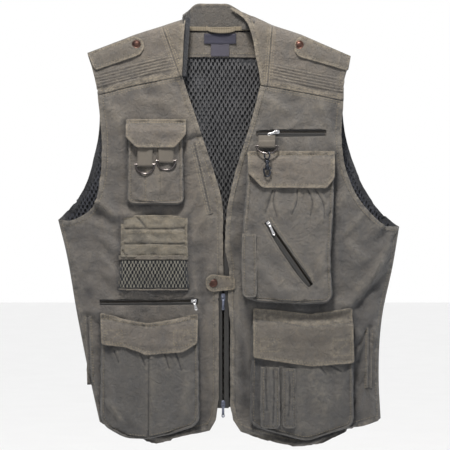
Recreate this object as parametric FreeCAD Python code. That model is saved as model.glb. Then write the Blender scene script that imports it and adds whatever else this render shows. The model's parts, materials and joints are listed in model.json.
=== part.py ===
"""A fishing vest, hung upright by its hang loop, as separate pieces of cloth and hardware.

Sizes are in millimetres. While the pieces are made, X runs from the wearer's right (-X) to the wearer's
left (+X), Y runs from the front (-Y) to the back (+Y), and Z is the height above the lowest point of the
hem. save() then moves each piece, so that the origin is in the hang loop.
"""
import FreeCAD, Part
import math
import os

from FreeCAD import Vector

# ---- layers of cloth, as Y positions from back to front ----
BACK_SKIN = 5.0          # outer face of the back panel
BACK_SEAM = 3.0          # inner face of the back panel
LINING_SKIN = 1.8        # inner face of the mesh lining and of the facing
FRONT_SEAM = -26.0       # inner face of the front panels
FRONT_SKIN = -28.0       # outer face of the front panels
CLOTH = 2.0              # thickness of a wall of doubled twill
FLAP = 1.6               # thickness of a pocket flap
EASE = 0.5               # room between a moving piece of cloth and what it lies on

# ---- hang loop, where the vest is held ----
HANG_X = -6.0
HANG_Y = -2.0
HANG_Z = 666.0
NECK_SEAM_Z = 671.0

# ---- seam lines of the shell, as (x, z), from hem to collar ----
RIGHT_SIDE = [(-202, 36), (-220, 117), (-238, 208), (-257, 314), (-269, 362)]
LEFT_SIDE = [(251, 42), (248, 100), (253, 204), (271, 291), (281, 351)]
RIGHT_ARMHOLE_FRONT = [(-269, 362), (-247, 361), (-221, 374), (-200, 425), (-196, 480), (-204, 562)]
LEFT_ARMHOLE_FRONT = [(281, 351), (261, 355), (221, 389), (192, 450), (186, 500), (190, 553)]
RIGHT_YOKE_ARMHOLE = [(-204, 562), (-211, 597), (-222, 631)]
LEFT_YOKE_ARMHOLE = [(190, 553), (192, 590), (203, 626)]
RIGHT_ARMHOLE_BACK = [(-269, 362), (-237, 401), (-209, 475), (-203, 543), (-207, 585), (-222, 631)]
LEFT_ARMHOLE_BACK = [(281, 351), (259, 371), (219, 429), (193, 512), (192, 580), (203, 626)]
RIGHT_SHOULDER = [(-222, 631), (-144, 661), (-101, 674.5), (-68, 685.4)]
LEFT_SHOULDER = [(203, 626), (122, 661), (76, 676), (48, 685.7)]
RIGHT_NECK_EDGE = [(-69, 592), (-39, 502), (-18, 438), (-5, 390), (-3.5, 333), (-3.5, 277)]
LEFT_NECK_EDGE = [(57, 578), (43, 528), (14, 434), (4, 390), (0, 350), (0, 319)]
RIGHT_HEM = [(-24, 28), (-66, 18), (-112, 8), (-154, 28), (-202, 36)]
LEFT_HEM = [(22, 27), (53, 16), (128, 0), (191, 25), (251, 42)]
BACK_HEM = [(-202, 36), (0, 62), (251, 42)]
RIGHT_YOKE_SEAM_INNER = (-72, 591.3)
LEFT_YOKE_SEAM_INNER = (68, 575.9)
LINING_SCALE = 0.985     # the lining and the facing stop short of the shell's edge
LINING_MIDDLE = (6.0, 360.0)
FACING_Z = 624.0         # height where the facing ends and the mesh lining begins
LABEL_THICK = 0.8

# ---- two-way front zip ----
ZIP_X = -3.0
FRONT_ZIP_BOTTOM = 60.0
FRONT_ZIP_TOP = 330.0
TOP_SLIDER_Z = 238.0
BOTTOM_SLIDER_Z = 66.0

# ---- zip hardware ----
TOOTH_GAP = 0.6          # half of the gap between the two rows of teeth
TOOTH_REACH = 2.4        # from the zip's middle line to a tooth's outer end
TOOTH_PITCH = 3.0
TOOTH_WIDTH = 1.6
TAPE_HALF = 9.0          # from the zip's middle line to the tape's outer edge
WINDOW_HALF = 4.2        # half of the slit that a pocket zip shows through
TAPE_THICK = 1.0
TOOTH_DEPTH = 2.5
SLIDER_HALF = 3.6
SLIDER_LENGTH = 9.0
FRONT_SLIDER_LENGTH = 12.0
SLIDER_PLATE = 1.0       # thickness of a slider's front and back plates
SLIDER_ROOM = 0.3        # room between the slider and the teeth or tape that it slides along
SLIDER_FLANGE = 0.8
SLIDER_POST_HALF = 0.35
BAIL_REACH = 2.6         # from the middle of the bail to its end
BAIL_WALL = 0.9
PULL_STANDOFF = 3.0      # from the tape's front face to the pull's crossbar
PULL_THICK = 0.8
PULL_HALF = 2.4          # half of a pull's width, and the radius of its rounded end
PULL_HOLE = 1.0

# ---- pockets: left x, right x, bottom z, top z, depth at the top, depth at the bottom ----
RIGHT_CHEST_POCKET = (-155.0, -67.5, 390.0, 508.0, 7.0, 11.0)
LEFT_CHEST_POCKET = (28.0, 172.0, 235.0, 462.0, 7.0, 22.0)
RIGHT_CARGO_POCKET = (-198.0, -42.0, 38.0, 196.0, 8.0, 20.0)
LEFT_CARGO_POCKET = (43.0, 200.0, 36.0, 195.0, 8.0, 20.0)

# ---- D-rings and snap hook ----
RING_WIRE = 1.5
RING_RADIUS = 14.8
BIG_RING_WIRE = 1.6
BIG_RING_RADIUS = 16.8
BIG_RING_X = 67.0
BIG_RING_TILT = 42.0     # degrees that the flap below it holds the large ring away from the chest
RING_LOOP_BORE = 2.0
RING_LOOP_OUTER = 3.2
EYE_RADIUS = 6.2
EYE_WIRE = 1.3
EYE_TURN = 40.0          # degrees that the eye is turned out of the ring's plane
HOOK_WIRE = 1.4
HOOK_REACH = 4.8         # from the swivel's axis to the hook's wire
BOLT_RADIUS = 1.1

SNAP_RADIUS = 7.0


def save(name, shape):
    """Move a finished piece so that the hang loop is the origin, and write it."""
    moved = shape.copy()
    moved.translate(Vector(-HANG_X, -HANG_Y, -HANG_Z))
    moved.exportStep("parts/" + name + ".step")


# ---------------------------------------------------------------- shapes ----

def bend(points):
    """A smooth seam line through the points."""
    spline = Part.BSplineCurve()
    spline.interpolate([Vector(x, 0, z) for x, z in points])
    return [spline.toShape()]


def run(points):
    """Straight seam lines from point to point."""
    corners = [Vector(x, 0, z) for x, z in points]
    return [Part.makeLine(a, b) for a, b in zip(corners[:-1], corners[1:])]


def cloth(lines, y_front, y_back):
    """A flat piece of cloth, cut along closed seam lines."""
    wire = Part.Wire(Part.__sortEdges__(lines))
    wire.translate(Vector(0, y_front, 0))
    return Part.Face(wire).extrude(Vector(0, y_back - y_front, 0))


def patch(corners, y_front, y_back):
    """A flat piece of cloth with straight edges."""
    return cloth(run(corners + corners[:1]), y_front, y_back)


def box(x0, x1, y0, y1, z0, z1):
    return Part.makeBox(x1 - x0, y1 - y0, z1 - z0, Vector(x0, y0, z0))


def rod(radius, length, base, direction):
    return Part.makeCylinder(radius, length, Vector(*base), Vector(*direction))


def ribbon(points, shift, y_front, y_back, smooth=True):
    """A strip of cloth that runs from front to back along a seam line."""
    shifted = [(x + shift[0], z + shift[1]) for x, z in points]
    draw = bend if smooth else run
    ends = run([points[0], shifted[0]]) + run([points[-1], shifted[-1]])
    return cloth(draw(points) + draw(shifted) + ends, y_front, y_back)


def group(shapes):
    return Part.makeCompound(shapes)


def pocket_lean(pocket):
    """Degrees by which a bellows pocket's front leans out towards its bottom."""
    bottom, top, depth_top, depth_bottom = pocket[2:]
    return math.degrees(math.atan((depth_bottom - depth_top) / (top - bottom)))


def lean(shape, pocket):
    """Tip a piece made upright so that it lies on the pocket's leaning front."""
    leaned = shape.copy()
    pivot = Vector(0, FRONT_SKIN - pocket[4], pocket[3])
    leaned.rotate(pivot, Vector(1, 0, 0), -pocket_lean(pocket))
    return leaned


def wedge(x0, x1, outline):
    """A block with the same side outline, as (y, z), all the way across."""
    corners = [Vector(x0, y, z) for y, z in outline]
    face = Part.Face(Part.makePolygon(corners + corners[:1]))
    return face.extrude(Vector(x1 - x0, 0, 0))


def bellows_pocket(pocket):
    """A hollow pocket, open at its top and closed at its back by the panel that it is sewn to."""
    x0, x1, bottom, top, depth_top, depth_bottom = pocket
    slope = (depth_bottom - depth_top) / (top - bottom)
    floor = bottom + CLOTH
    above = top + CLOTH
    outer = wedge(x0, x1, [
        (FRONT_SKIN, bottom),
        (FRONT_SKIN - depth_bottom, bottom),
        (FRONT_SKIN - depth_top, top),
        (FRONT_SKIN, top)])
    inner = wedge(x0 + CLOTH, x1 - CLOTH, [
        (FRONT_SKIN, floor),
        (FRONT_SKIN - depth_bottom + slope * CLOTH + CLOTH, floor),
        (FRONT_SKIN - depth_top + slope * CLOTH + CLOTH, above),
        (FRONT_SKIN, above)])
    return outer.cut(inner)


def flat_pouch(x0, x1, bottom, top, y_front, y_back, wall):
    """A flat pocket, open at its top and at its back."""
    hollow = box(x0 + wall, x1 - wall, y_front + wall, y_back, bottom + wall, top)
    return box(x0, x1, y_front, y_back, bottom, top).cut(hollow)


def closed_bag(x0, x1, bottom, top):
    """A pocket bag inside the vest, closed all round against the inner face of the front panel."""
    depth = 5.6
    wall = 0.8
    y_back = FRONT_SEAM + depth
    hollow = box(x0 + wall, x1 - wall, FRONT_SEAM, y_back - wall, bottom + wall, top - wall)
    return box(x0, x1, FRONT_SEAM, y_back, bottom, top).cut(hollow)


# ------------------------------------------------------------------ zips ----

class Zip:
    """A straight zip behind a slit in a cloth whose outer face is at y = face."""

    def __init__(self, start, end, face=FRONT_SKIN, window=(0, 0)):
        self.start = start
        self.length = math.hypot(end[0] - start[0], end[1] - start[1])
        self.angle = math.degrees(math.atan2(end[1] - start[1], end[0] - start[0]))
        self.face = face
        self.tape_front = face + CLOTH
        self.window = window

    def place(self, shape):
        """Move a piece made along +X from the origin on to the zip's line."""
        placed = shape.copy()
        placed.rotate(Vector(0, 0, 0), Vector(0, 1, 0), -self.angle)
        placed.translate(Vector(self.start[0], 0, self.start[1]))
        return placed

    def tapes(self):
        halves = []
        for side in (-1, 1):
            inner, outer = sorted((side * TOOTH_REACH, side * TAPE_HALF))
            halves.append(self.place(
                box(0, self.length, self.tape_front, self.tape_front + TAPE_THICK, inner, outer)))
        return halves

    def teeth(self):
        row = []
        count = int((self.length - TOOTH_PITCH) / TOOTH_PITCH)
        for index in range(count):
            for side in (-1, 1):
                along = TOOTH_PITCH * (index + 0.5 + 0.25 * side)
                inner, outer = sorted((side * TOOTH_GAP, side * TOOTH_REACH))
                row.append(self.place(box(
                    along, along + TOOTH_WIDTH,
                    self.tape_front, self.tape_front + TOOTH_DEPTH, inner, outer)))
        return row

    def slit(self):
        """What is cut out of the cloth so that the zip shows."""
        before, after = self.window
        return self.place(box(
            -before, self.length + after, self.face - 1, self.tape_front, -WINDOW_HALF, WINDOW_HALF))

    def slider(self, along, pull_angle, half=SLIDER_HALF, length=SLIDER_LENGTH):
        """Front and back plates, the post between the rows of teeth, the side flanges and the bail."""
        front = self.tape_front - SLIDER_ROOM
        back = self.tape_front + TOOTH_DEPTH + SLIDER_ROOM
        post = 1.5
        begin = along - length / 2
        end = along + length / 2
        body = box(begin, end, front - SLIDER_PLATE, front, -half, half)
        body = body.fuse(box(begin, end, back, back + SLIDER_PLATE, -half, half))
        body = body.fuse(box(
            along - post, along + post, front, back, -SLIDER_POST_HALF, SLIDER_POST_HALF))
        behind_tape = self.tape_front + TAPE_THICK + SLIDER_ROOM
        for side in (-1, 1):
            inner, outer = sorted((side * (half - SLIDER_FLANGE), side * half))
            body = body.fuse(box(begin, end, behind_tape, back, inner, outer))
        body = self.place(body)
        return body.fuse(self.bail(along, pull_angle, front - SLIDER_PLATE)).removeSplitter()

    def pivot(self, along):
        """Where the pull's crossbar lies in the slider's bail."""
        angle = math.radians(self.angle)
        x = self.start[0] + along * math.cos(angle)
        z = self.start[1] + along * math.sin(angle)
        return Vector(x, self.tape_front - PULL_STANDOFF, z)

    def bail(self, along, pull_angle, plate):
        """A low arch on the slider, over the pull's crossbar."""
        pivot = self.pivot(along)
        half = 0.6
        room = 0.7
        span = BAIL_REACH - 1.0
        arch = box(-BAIL_REACH, BAIL_REACH, pivot.y - room - BAIL_WALL, plate, -half, half)
        arch = arch.cut(box(-span, span, pivot.y - room, plate, -half, half))
        arch.rotate(Vector(0, 0, 0), Vector(0, 1, 0), -pull_angle)
        arch.translate(Vector(pivot.x, 0, pivot.z))
        return arch

    def pull(self, along, pull_angle, length):
        """A tab with a window at its top, whose crossbar turns in the bail."""
        pivot = self.pivot(along)
        half = PULL_THICK / 2
        end = length - PULL_HALF
        window_end = 4.2
        window_half = 1.3
        tab = box(-half, end, -half, half, -PULL_HALF, PULL_HALF)
        tab = tab.fuse(rod(PULL_HALF, PULL_THICK, (end, -half, 0), (0, 1, 0)))
        tab = tab.cut(box(half, window_end, -half, half, -window_half, window_half))
        tab = tab.cut(rod(PULL_HOLE, PULL_THICK, (end - 0.8, -half, 0), (0, 1, 0)))
        tab.rotate(Vector(0, 0, 0), Vector(0, 1, 0), -pull_angle)
        tab.translate(pivot)
        return tab


FRONT_ZIP = Zip((ZIP_X, FRONT_ZIP_BOTTOM), (ZIP_X, FRONT_ZIP_TOP))
WAIST_ZIP = Zip((-202, 230), (-42, 232), window=(-2, -2))
BREAST_ZIP = Zip((52, 503), (160, 503), window=(-1, -1))
SLANT_ZIP = Zip((66, 362), (138, 258), face=FRONT_SKIN - LEFT_CHEST_POCKET[4], window=(-1, -1))

DOWN = -90.0             # direction, in degrees, in which a hanging pull points
BREAST_PULL_ANGLE = -160.0
WAIST_PULL_ANGLE = -74.0
SLANT_PULL_ANGLE = -66.0
TOP_SLIDER_ALONG = TOP_SLIDER_Z - FRONT_ZIP_BOTTOM
BOTTOM_SLIDER_ALONG = BOTTOM_SLIDER_Z - FRONT_ZIP_BOTTOM
WAIST_SLIDER_ALONG = 152.0
BREAST_SLIDER_ALONG = 31.0
SLANT_SLIDER_ALONG = 7.0
PULL_LENGTH = 21.0
SHORT_PULL_LENGTH = 16.0


def make_zips():
    left_tape, right_tape = FRONT_ZIP.tapes()
    save("right_front_zip_tape", right_tape)
    save("left_front_zip_tape", left_tape)
    save("front_zip_teeth", group(FRONT_ZIP.teeth()))
    save("top_slider", FRONT_ZIP.slider(TOP_SLIDER_ALONG, DOWN, length=FRONT_SLIDER_LENGTH))
    save("top_slider_pull", FRONT_ZIP.pull(TOP_SLIDER_ALONG, DOWN, PULL_LENGTH))
    save("bottom_slider", FRONT_ZIP.slider(BOTTOM_SLIDER_ALONG, DOWN, length=FRONT_SLIDER_LENGTH))
    save("bottom_slider_pull", FRONT_ZIP.pull(BOTTOM_SLIDER_ALONG, DOWN, PULL_LENGTH))

    pocket_zips = (WAIST_ZIP, BREAST_ZIP)
    tapes = [tape for zip_line in pocket_zips for tape in zip_line.tapes()]
    teeth = [tooth for zip_line in pocket_zips for tooth in zip_line.teeth()]
    tapes += [lean(tape, LEFT_CHEST_POCKET) for tape in SLANT_ZIP.tapes()]
    teeth += [lean(tooth, LEFT_CHEST_POCKET) for tooth in SLANT_ZIP.teeth()]
    save("pocket_zip_tapes", group(tapes))
    save("pocket_zip_teeth", group(teeth))

    save("waist_slider", WAIST_ZIP.slider(WAIST_SLIDER_ALONG, WAIST_PULL_ANGLE))
    save("waist_slider_pull", WAIST_ZIP.pull(WAIST_SLIDER_ALONG, WAIST_PULL_ANGLE, SHORT_PULL_LENGTH))
    save("breast_slider", BREAST_ZIP.slider(BREAST_SLIDER_ALONG, BREAST_PULL_ANGLE))
    save("breast_slider_pull", BREAST_ZIP.pull(BREAST_SLIDER_ALONG, BREAST_PULL_ANGLE, SHORT_PULL_LENGTH))
    slant_slider = SLANT_ZIP.slider(SLANT_SLIDER_ALONG, SLANT_PULL_ANGLE)
    slant_pull = SLANT_ZIP.pull(SLANT_SLIDER_ALONG, SLANT_PULL_ANGLE, PULL_LENGTH)
    save("slant_slider", lean(slant_slider, LEFT_CHEST_POCKET))
    save("slant_slider_pull", lean(slant_pull, LEFT_CHEST_POCKET))


# ----------------------------------------------------------------- shell ----

def back_outline():
    neck = run([RIGHT_SHOULDER[-1], (-66, NECK_SEAM_Z), (46, NECK_SEAM_Z), LEFT_SHOULDER[-1]])
    return (bend(RIGHT_SIDE) + bend(RIGHT_ARMHOLE_BACK) + run(RIGHT_SHOULDER) + neck
            + run(LEFT_SHOULDER) + bend(LEFT_ARMHOLE_BACK) + bend(LEFT_SIDE) + bend(BACK_HEM))


def make_back():
    save("back_panel", cloth(back_outline(), BACK_SEAM, BACK_SKIN))
    face = Part.Face(Part.Wire(Part.__sortEdges__(back_outline())))
    face.scale(LINING_SCALE, Vector(LINING_MIDDLE[0], 0, LINING_MIDDLE[1]))
    face.translate(Vector(0, LINING_SKIN, 0))
    inside = face.extrude(Vector(0, BACK_SEAM - LINING_SKIN, 0))
    far = 1000.0
    below = box(-far, far, -far, far, -far, FACING_Z)
    save("mesh_lining", inside.common(below))
    save("back_facing", inside.cut(below))


def make_side_panels():
    right = ribbon(RIGHT_SIDE, (2, 0), FRONT_SEAM, BACK_SEAM)
    left = ribbon(LEFT_SIDE, (-2, 0), FRONT_SEAM, BACK_SEAM)
    save("side_panels", group([right, left]))


def make_front_panels():
    right = cloth(
        bend(RIGHT_SIDE) + bend(RIGHT_ARMHOLE_FRONT)
        + run([RIGHT_ARMHOLE_FRONT[-1], RIGHT_NECK_EDGE[0]]) + bend(RIGHT_NECK_EDGE)
        + run([RIGHT_NECK_EDGE[-1], (-10, 245), (-10.5, 71), (-14, 45), RIGHT_HEM[0]])
        + bend(RIGHT_HEM),
        FRONT_SKIN, FRONT_SEAM)
    left = cloth(
        bend(LEFT_SIDE) + bend(LEFT_ARMHOLE_FRONT)
        + run([LEFT_ARMHOLE_FRONT[-1], LEFT_NECK_EDGE[0]]) + bend(LEFT_NECK_EDGE)
        + run([LEFT_NECK_EDGE[-1], (6, 286), (4.5, 245), (4.5, 71), (9, 45), LEFT_HEM[0]])
        + bend(LEFT_HEM),
        FRONT_SKIN, FRONT_SEAM)
    save("right_front_panel", right.cut(WAIST_ZIP.slit()))
    save("left_front_panel", left.cut(BREAST_ZIP.slit()))


def make_yokes():
    right = cloth(
        bend(RIGHT_YOKE_ARMHOLE) + run(RIGHT_SHOULDER[:3])
        + run([RIGHT_SHOULDER[2], RIGHT_YOKE_SEAM_INNER, RIGHT_YOKE_ARMHOLE[0]]),
        FRONT_SKIN, FRONT_SEAM)
    left = cloth(
        bend(LEFT_YOKE_ARMHOLE) + run(LEFT_SHOULDER[:3])
        + run([LEFT_SHOULDER[2], LEFT_YOKE_SEAM_INNER, LEFT_YOKE_ARMHOLE[0]]),
        FRONT_SKIN, FRONT_SEAM)
    right_top = ribbon(RIGHT_SHOULDER, (0, -2), FRONT_SEAM, BACK_SEAM, smooth=False)
    left_top = ribbon(LEFT_SHOULDER, (0, -2), FRONT_SEAM, BACK_SEAM, smooth=False)
    save("right_shoulder_yoke", right.fuse(right_top))
    save("left_shoulder_yoke", left.fuse(left_top))


def make_collar():
    """A stand collar round the back of the neck, and its two front ends that run down the V-neck."""
    stand = patch(
        [(-66, NECK_SEAM_Z), (-66, 688), (-43, 708), (7, 708), (33, 694), (46, 688), (46, NECK_SEAM_Z)],
        LINING_SKIN, BACK_SKIN)
    right_turn = box(-66, -64, FRONT_SEAM, LINING_SKIN, NECK_SEAM_Z + 1, 686)
    left_turn = box(44, 46, FRONT_SEAM, LINING_SKIN, NECK_SEAM_Z + 1, 686)
    save("collar", stand.fuse(right_turn).fuse(left_turn))
    right = patch(
        [RIGHT_NECK_EDGE[0], (-64, 686), RIGHT_SHOULDER[2], RIGHT_YOKE_SEAM_INNER],
        FRONT_SKIN, FRONT_SEAM)
    left = patch(
        [LEFT_NECK_EDGE[0], (49, 626), (44, 687), LEFT_SHOULDER[2], LEFT_YOKE_SEAM_INNER],
        FRONT_SKIN, FRONT_SEAM)
    save("neckbands", group([right, left]))


def make_neck_trim():
    x0, x1, low = -29.0, 17.0, 662.0
    end = 3.0
    front = -7.0
    thick = 1.5
    loop = box(x0, x1, front, LINING_SKIN, low, NECK_SEAM_Z)
    loop = loop.cut(box(x0 + end, x1 - end, front + thick, LINING_SKIN, low, NECK_SEAM_Z))
    save("hang_loop", loop)
    face = LINING_SKIN - LABEL_THICK
    main_label = box(-34, 18, face, LINING_SKIN, 644, 660)
    care_label = box(-23, 7, face, LINING_SKIN, 625, 644)
    save("neck_labels", group([main_label, care_label]))


# ------------------------------------------- epaulettes, tab and snaps ----

RIGHT_EPAULETTE = [(-220, 628), (-145, 657), (-131, 649), (-129, 638), (-136, 626), (-208, 601)]
LEFT_EPAULETTE = [(201, 624), (122, 658), (112, 648), (111, 632), (118, 623), (197, 601)]
STORM_TAB = [(16, 270), (-23, 274), (-30, 268), (-30, 254), (-23, 247), (16, 250)]
RIGHT_SNAP = (-142, 643)
LEFT_SNAP = (119, 642)
TAB_SNAP = (-19, 261)
STRAP_THICK = 2.0
STUD_RADIUS = 2.0
STUD_HOLE = 3.0
STRAP_EASE = 0.4
CAP_RIM = 1.6            # width of the rim round a snap cap's raised crown
CAP_RIM_THICK = 1.0
CAP_THICK = 1.8


def snapped_strap(outline, snap, base):
    """A strap end with the hole that its snap stud stands in. base is the face that it lies on."""
    y_back = base - STRAP_EASE
    strap = patch(outline, y_back - STRAP_THICK, y_back)
    return strap.cut(rod(STUD_HOLE, STRAP_THICK, (snap[0], y_back - STRAP_THICK, snap[1]), (0, 1, 0)))


def snap_cap(snap, base):
    """A domed cap on the outside of a strap."""
    face = base - STRAP_EASE - STRAP_THICK
    rim = rod(SNAP_RADIUS, CAP_RIM_THICK, (snap[0], face, snap[1]), (0, -1, 0))
    crown = rod(SNAP_RADIUS - CAP_RIM, CAP_THICK, (snap[0], face, snap[1]), (0, -1, 0))
    return rim.fuse(crown)


def make_straps():
    for name, outline, snap in (
            ("right_epaulette", RIGHT_EPAULETTE, RIGHT_SNAP),
            ("left_epaulette", LEFT_EPAULETTE, LEFT_SNAP),
            ("storm_tab", STORM_TAB, TAB_SNAP)):
        save(name, snapped_strap(outline, snap, FRONT_SKIN))
        save(name + "_cap", snap_cap(snap, FRONT_SKIN))
    studs = []
    for snap in (RIGHT_SNAP, LEFT_SNAP, TAB_SNAP):
        studs.append(rod(STUD_RADIUS, STRAP_THICK, (snap[0], FRONT_SKIN, snap[1]), (0, -1, 0)))
    save("snap_studs", group(studs))


# --------------------------------------------------------------- pockets ----

def flap(pocket, outline, ease=EASE):
    """A pocket flap, hinged along its top edge, lying on the pocket's leaning front."""
    y_back = FRONT_SKIN - pocket[4] - ease
    return lean(patch(outline, y_back - FLAP, y_back), pocket)


def hook_squares(pocket, squares, size):
    """Hook tape on the back of a flap, set into the room between the flap and the pocket."""
    y_back = FRONT_SKIN - pocket[4] - EASE
    return group([
        lean(box(x, x + size, y_back, y_back + 0.2, z, z + size), pocket) for x, z in squares])


CHEST_FLAP_EASE = 3.0    # room under the right chest flap for the webbing of the two D-rings
RIGHT_CHEST_FLAP = [(-158, 517), (-62, 517), (-62, 498), (-80, 477), (-141, 477), (-158, 493)]
LEFT_CHEST_FLAP = [(37, 466), (175, 466), (174, 429), (161, 412), (60, 414), (38, 436)]
RIGHT_CARGO_FLAP = [(-200, 204), (-43, 204), (-44, 163), (-66, 150), (-124, 147), (-176, 150), (-198, 163)]
LEFT_CARGO_FLAP = [(43, 202), (206, 202), (205, 134), (138, 129), (76, 137), (45, 142)]
RIGHT_CARGO_HOOKS = [(-192, 166), (-75, 166)]
LEFT_CARGO_HOOKS = [(53, 144), (170, 144)]
HOOK_SQUARE = 24.0
CARD_POCKET_TOPS = (369.0, 346.0, 322.0)    # one card pocket in front of another
CARD_POCKET_BOTTOM = 302.0
CARD_POCKET_SIDES = (-167.0, -59.0)
CARD_LAYER = 1.4
CARD_WALL = 0.6
MESH_POCKET = (-168.0, -60.0, 250.0, 301.0)      # x and x, bottom and top, of each sewn-on pouch
MESH_POCKET_DEPTH = 10.5
PEN_POCKET = (28.0, 50.0, 240.0, 342.0)
TOOL_POCKETS = ((56.0, 89.0, 40.0, 122.0), (90.0, 113.0, 40.0, 122.0))
POUCH_DEPTH = 6.5
POUCH_WALL = 1.2
RIGHT_HAND_WELT = [(-226, 208), (-214, 208), (-210, 98), (-222, 98)]
LEFT_HAND_WELT = [(226, 190), (238, 190), (236, 91), (224, 91)]
HIDDEN_WELT = [(-53, 484), (-45, 484), (-19, 371), (-27, 371)]
WELT_THICK = 1.2
WAIST_BAG = (-206.0, -38.0, 130.0, 246.0)
BREAST_BAG = (48.0, 164.0, 400.0, 513.0)


def make_right_pockets():
    save("right_chest_pocket", bellows_pocket(RIGHT_CHEST_POCKET))
    save("right_chest_flap", flap(RIGHT_CHEST_POCKET, RIGHT_CHEST_FLAP, ease=CHEST_FLAP_EASE))
    save("right_cargo_pocket", bellows_pocket(RIGHT_CARGO_POCKET))
    save("right_cargo_flap", flap(RIGHT_CARGO_POCKET, RIGHT_CARGO_FLAP))
    save("right_cargo_hooks", hook_squares(RIGHT_CARGO_POCKET, RIGHT_CARGO_HOOKS, HOOK_SQUARE))

    x0, x1 = CARD_POCKET_SIDES
    layers = []
    for index, top in enumerate(CARD_POCKET_TOPS):
        y_back = FRONT_SKIN - index * CARD_LAYER
        layers.append(flat_pouch(
            x0, x1, CARD_POCKET_BOTTOM, top, y_back - CARD_LAYER, y_back, CARD_WALL))
    save("card_pockets", group(layers))
    save("mesh_pocket", flat_pouch(
        *MESH_POCKET, FRONT_SKIN - MESH_POCKET_DEPTH, FRONT_SKIN, POUCH_WALL))


def make_left_pockets():
    chest = bellows_pocket(LEFT_CHEST_POCKET).cut(lean(SLANT_ZIP.slit(), LEFT_CHEST_POCKET))
    save("left_chest_pocket", chest)
    save("left_chest_flap", flap(LEFT_CHEST_POCKET, LEFT_CHEST_FLAP))
    chest_face = FRONT_SKIN - LEFT_CHEST_POCKET[4]
    pen = flat_pouch(*PEN_POCKET, chest_face - POUCH_DEPTH, chest_face, POUCH_WALL)
    save("pen_pocket", lean(pen, LEFT_CHEST_POCKET))

    save("left_cargo_pocket", bellows_pocket(LEFT_CARGO_POCKET))
    save("left_cargo_flap", flap(LEFT_CARGO_POCKET, LEFT_CARGO_FLAP))
    save("left_cargo_hooks", hook_squares(LEFT_CARGO_POCKET, LEFT_CARGO_HOOKS, HOOK_SQUARE))
    cargo_face = FRONT_SKIN - LEFT_CARGO_POCKET[4]
    tools = []
    for tool_pocket in TOOL_POCKETS:
        pouch = flat_pouch(*tool_pocket, cargo_face - POUCH_DEPTH, cargo_face, POUCH_WALL)
        tools.append(lean(pouch, LEFT_CARGO_POCKET))
    save("tool_pockets", group(tools))


def make_hidden_pockets():
    """Pocket bags inside the fronts, and the welts of the pockets that have no zip showing."""
    save("pocket_bags", group([closed_bag(*WAIST_BAG), closed_bag(*BREAST_BAG)]))
    welts = []
    for outline in (RIGHT_HAND_WELT, LEFT_HAND_WELT, HIDDEN_WELT):
        welts.append(patch(outline, FRONT_SKIN - WELT_THICK, FRONT_SKIN))
    save("pocket_welts", group(welts))


# --------------------------------------------------- D-rings and hook ----

def ring_strap(x0, x1, top, loop_z, y_back):
    """Folded webbing with a loop at its lower end."""
    axis_y = y_back - RING_LOOP_OUTER
    strap = box(x0, x1, y_back - CHEST_STRAP_THICK, y_back, loop_z, top)
    strap = strap.fuse(rod(RING_LOOP_OUTER, x1 - x0, (x0, axis_y, loop_z), (1, 0, 0)))
    return strap.cut(rod(RING_LOOP_BORE, x1 - x0, (x0, axis_y, loop_z), (1, 0, 0)))


def hanging_bow(centre, radius, wire):
    """A half circle of wire, open upwards."""
    bow = Part.makeTorus(radius, wire, centre, Vector(0, 1, 0), 0, 360, 180)
    bow.rotate(centre, Vector(0, 1, 0), 90)
    return bow


def d_ring(x, y, z, radius, wire, tilt):
    """A straight bar in the webbing loop, and a half circle hanging from it."""
    centre = Vector(x, y, z)
    bar = rod(wire, 2 * (radius + wire), (x - radius - wire, y, z), (1, 0, 0))
    ring = bar.fuse(hanging_bow(centre, radius, wire))
    ring.rotate(centre, Vector(1, 0, 0), -tilt)
    return ring


CHEST_POCKET_FACE = FRONT_SKIN - RIGHT_CHEST_POCKET[4]
CHEST_STRAP_THICK = 2.4
CHEST_STRAP_TOP = 504.0
CHEST_RINGS = (("outer", -140.0, 450.0), ("inner", -106.5, 456.0))
CHEST_STRAP_WIDTH = 25.0
BIG_STRAP_THICK = 6.0
BIG_STRAP_TOP = 494.0
BIG_STRAP_LOOP_Z = 480.0
BIG_STRAP_HALF = 14.5
BIG_RING_Y = FRONT_SKIN - BIG_STRAP_THICK - 1.4


def make_rings():
    straps = []
    for side, x0, loop_z in CHEST_RINGS:
        strap = ring_strap(x0, x0 + CHEST_STRAP_WIDTH, CHEST_STRAP_TOP, loop_z, CHEST_POCKET_FACE)
        straps.append(lean(strap, RIGHT_CHEST_POCKET))
        ring = d_ring(x0 + CHEST_STRAP_WIDTH / 2, CHEST_POCKET_FACE - RING_LOOP_OUTER, loop_z,
                      RING_RADIUS, RING_WIRE, 0)
        save(side + "_chest_ring", lean(ring, RIGHT_CHEST_POCKET))
    save("chest_ring_straps", group(straps))

    x0 = BIG_RING_X - BIG_STRAP_HALF
    x1 = BIG_RING_X + BIG_STRAP_HALF
    axis = (x0, BIG_RING_Y, BIG_STRAP_LOOP_Z)
    strap = box(x0, x1, FRONT_SKIN - BIG_STRAP_THICK, FRONT_SKIN, BIG_STRAP_LOOP_Z, BIG_STRAP_TOP)
    strap = strap.fuse(rod(RING_LOOP_OUTER, x1 - x0, axis, (1, 0, 0)))
    save("hook_ring_strap", strap.cut(rod(RING_LOOP_BORE, x1 - x0, axis, (1, 0, 0))))
    ring = d_ring(BIG_RING_X, BIG_RING_Y, BIG_STRAP_LOOP_Z, BIG_RING_RADIUS, BIG_RING_WIRE, BIG_RING_TILT)
    save("hook_ring", ring)


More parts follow.
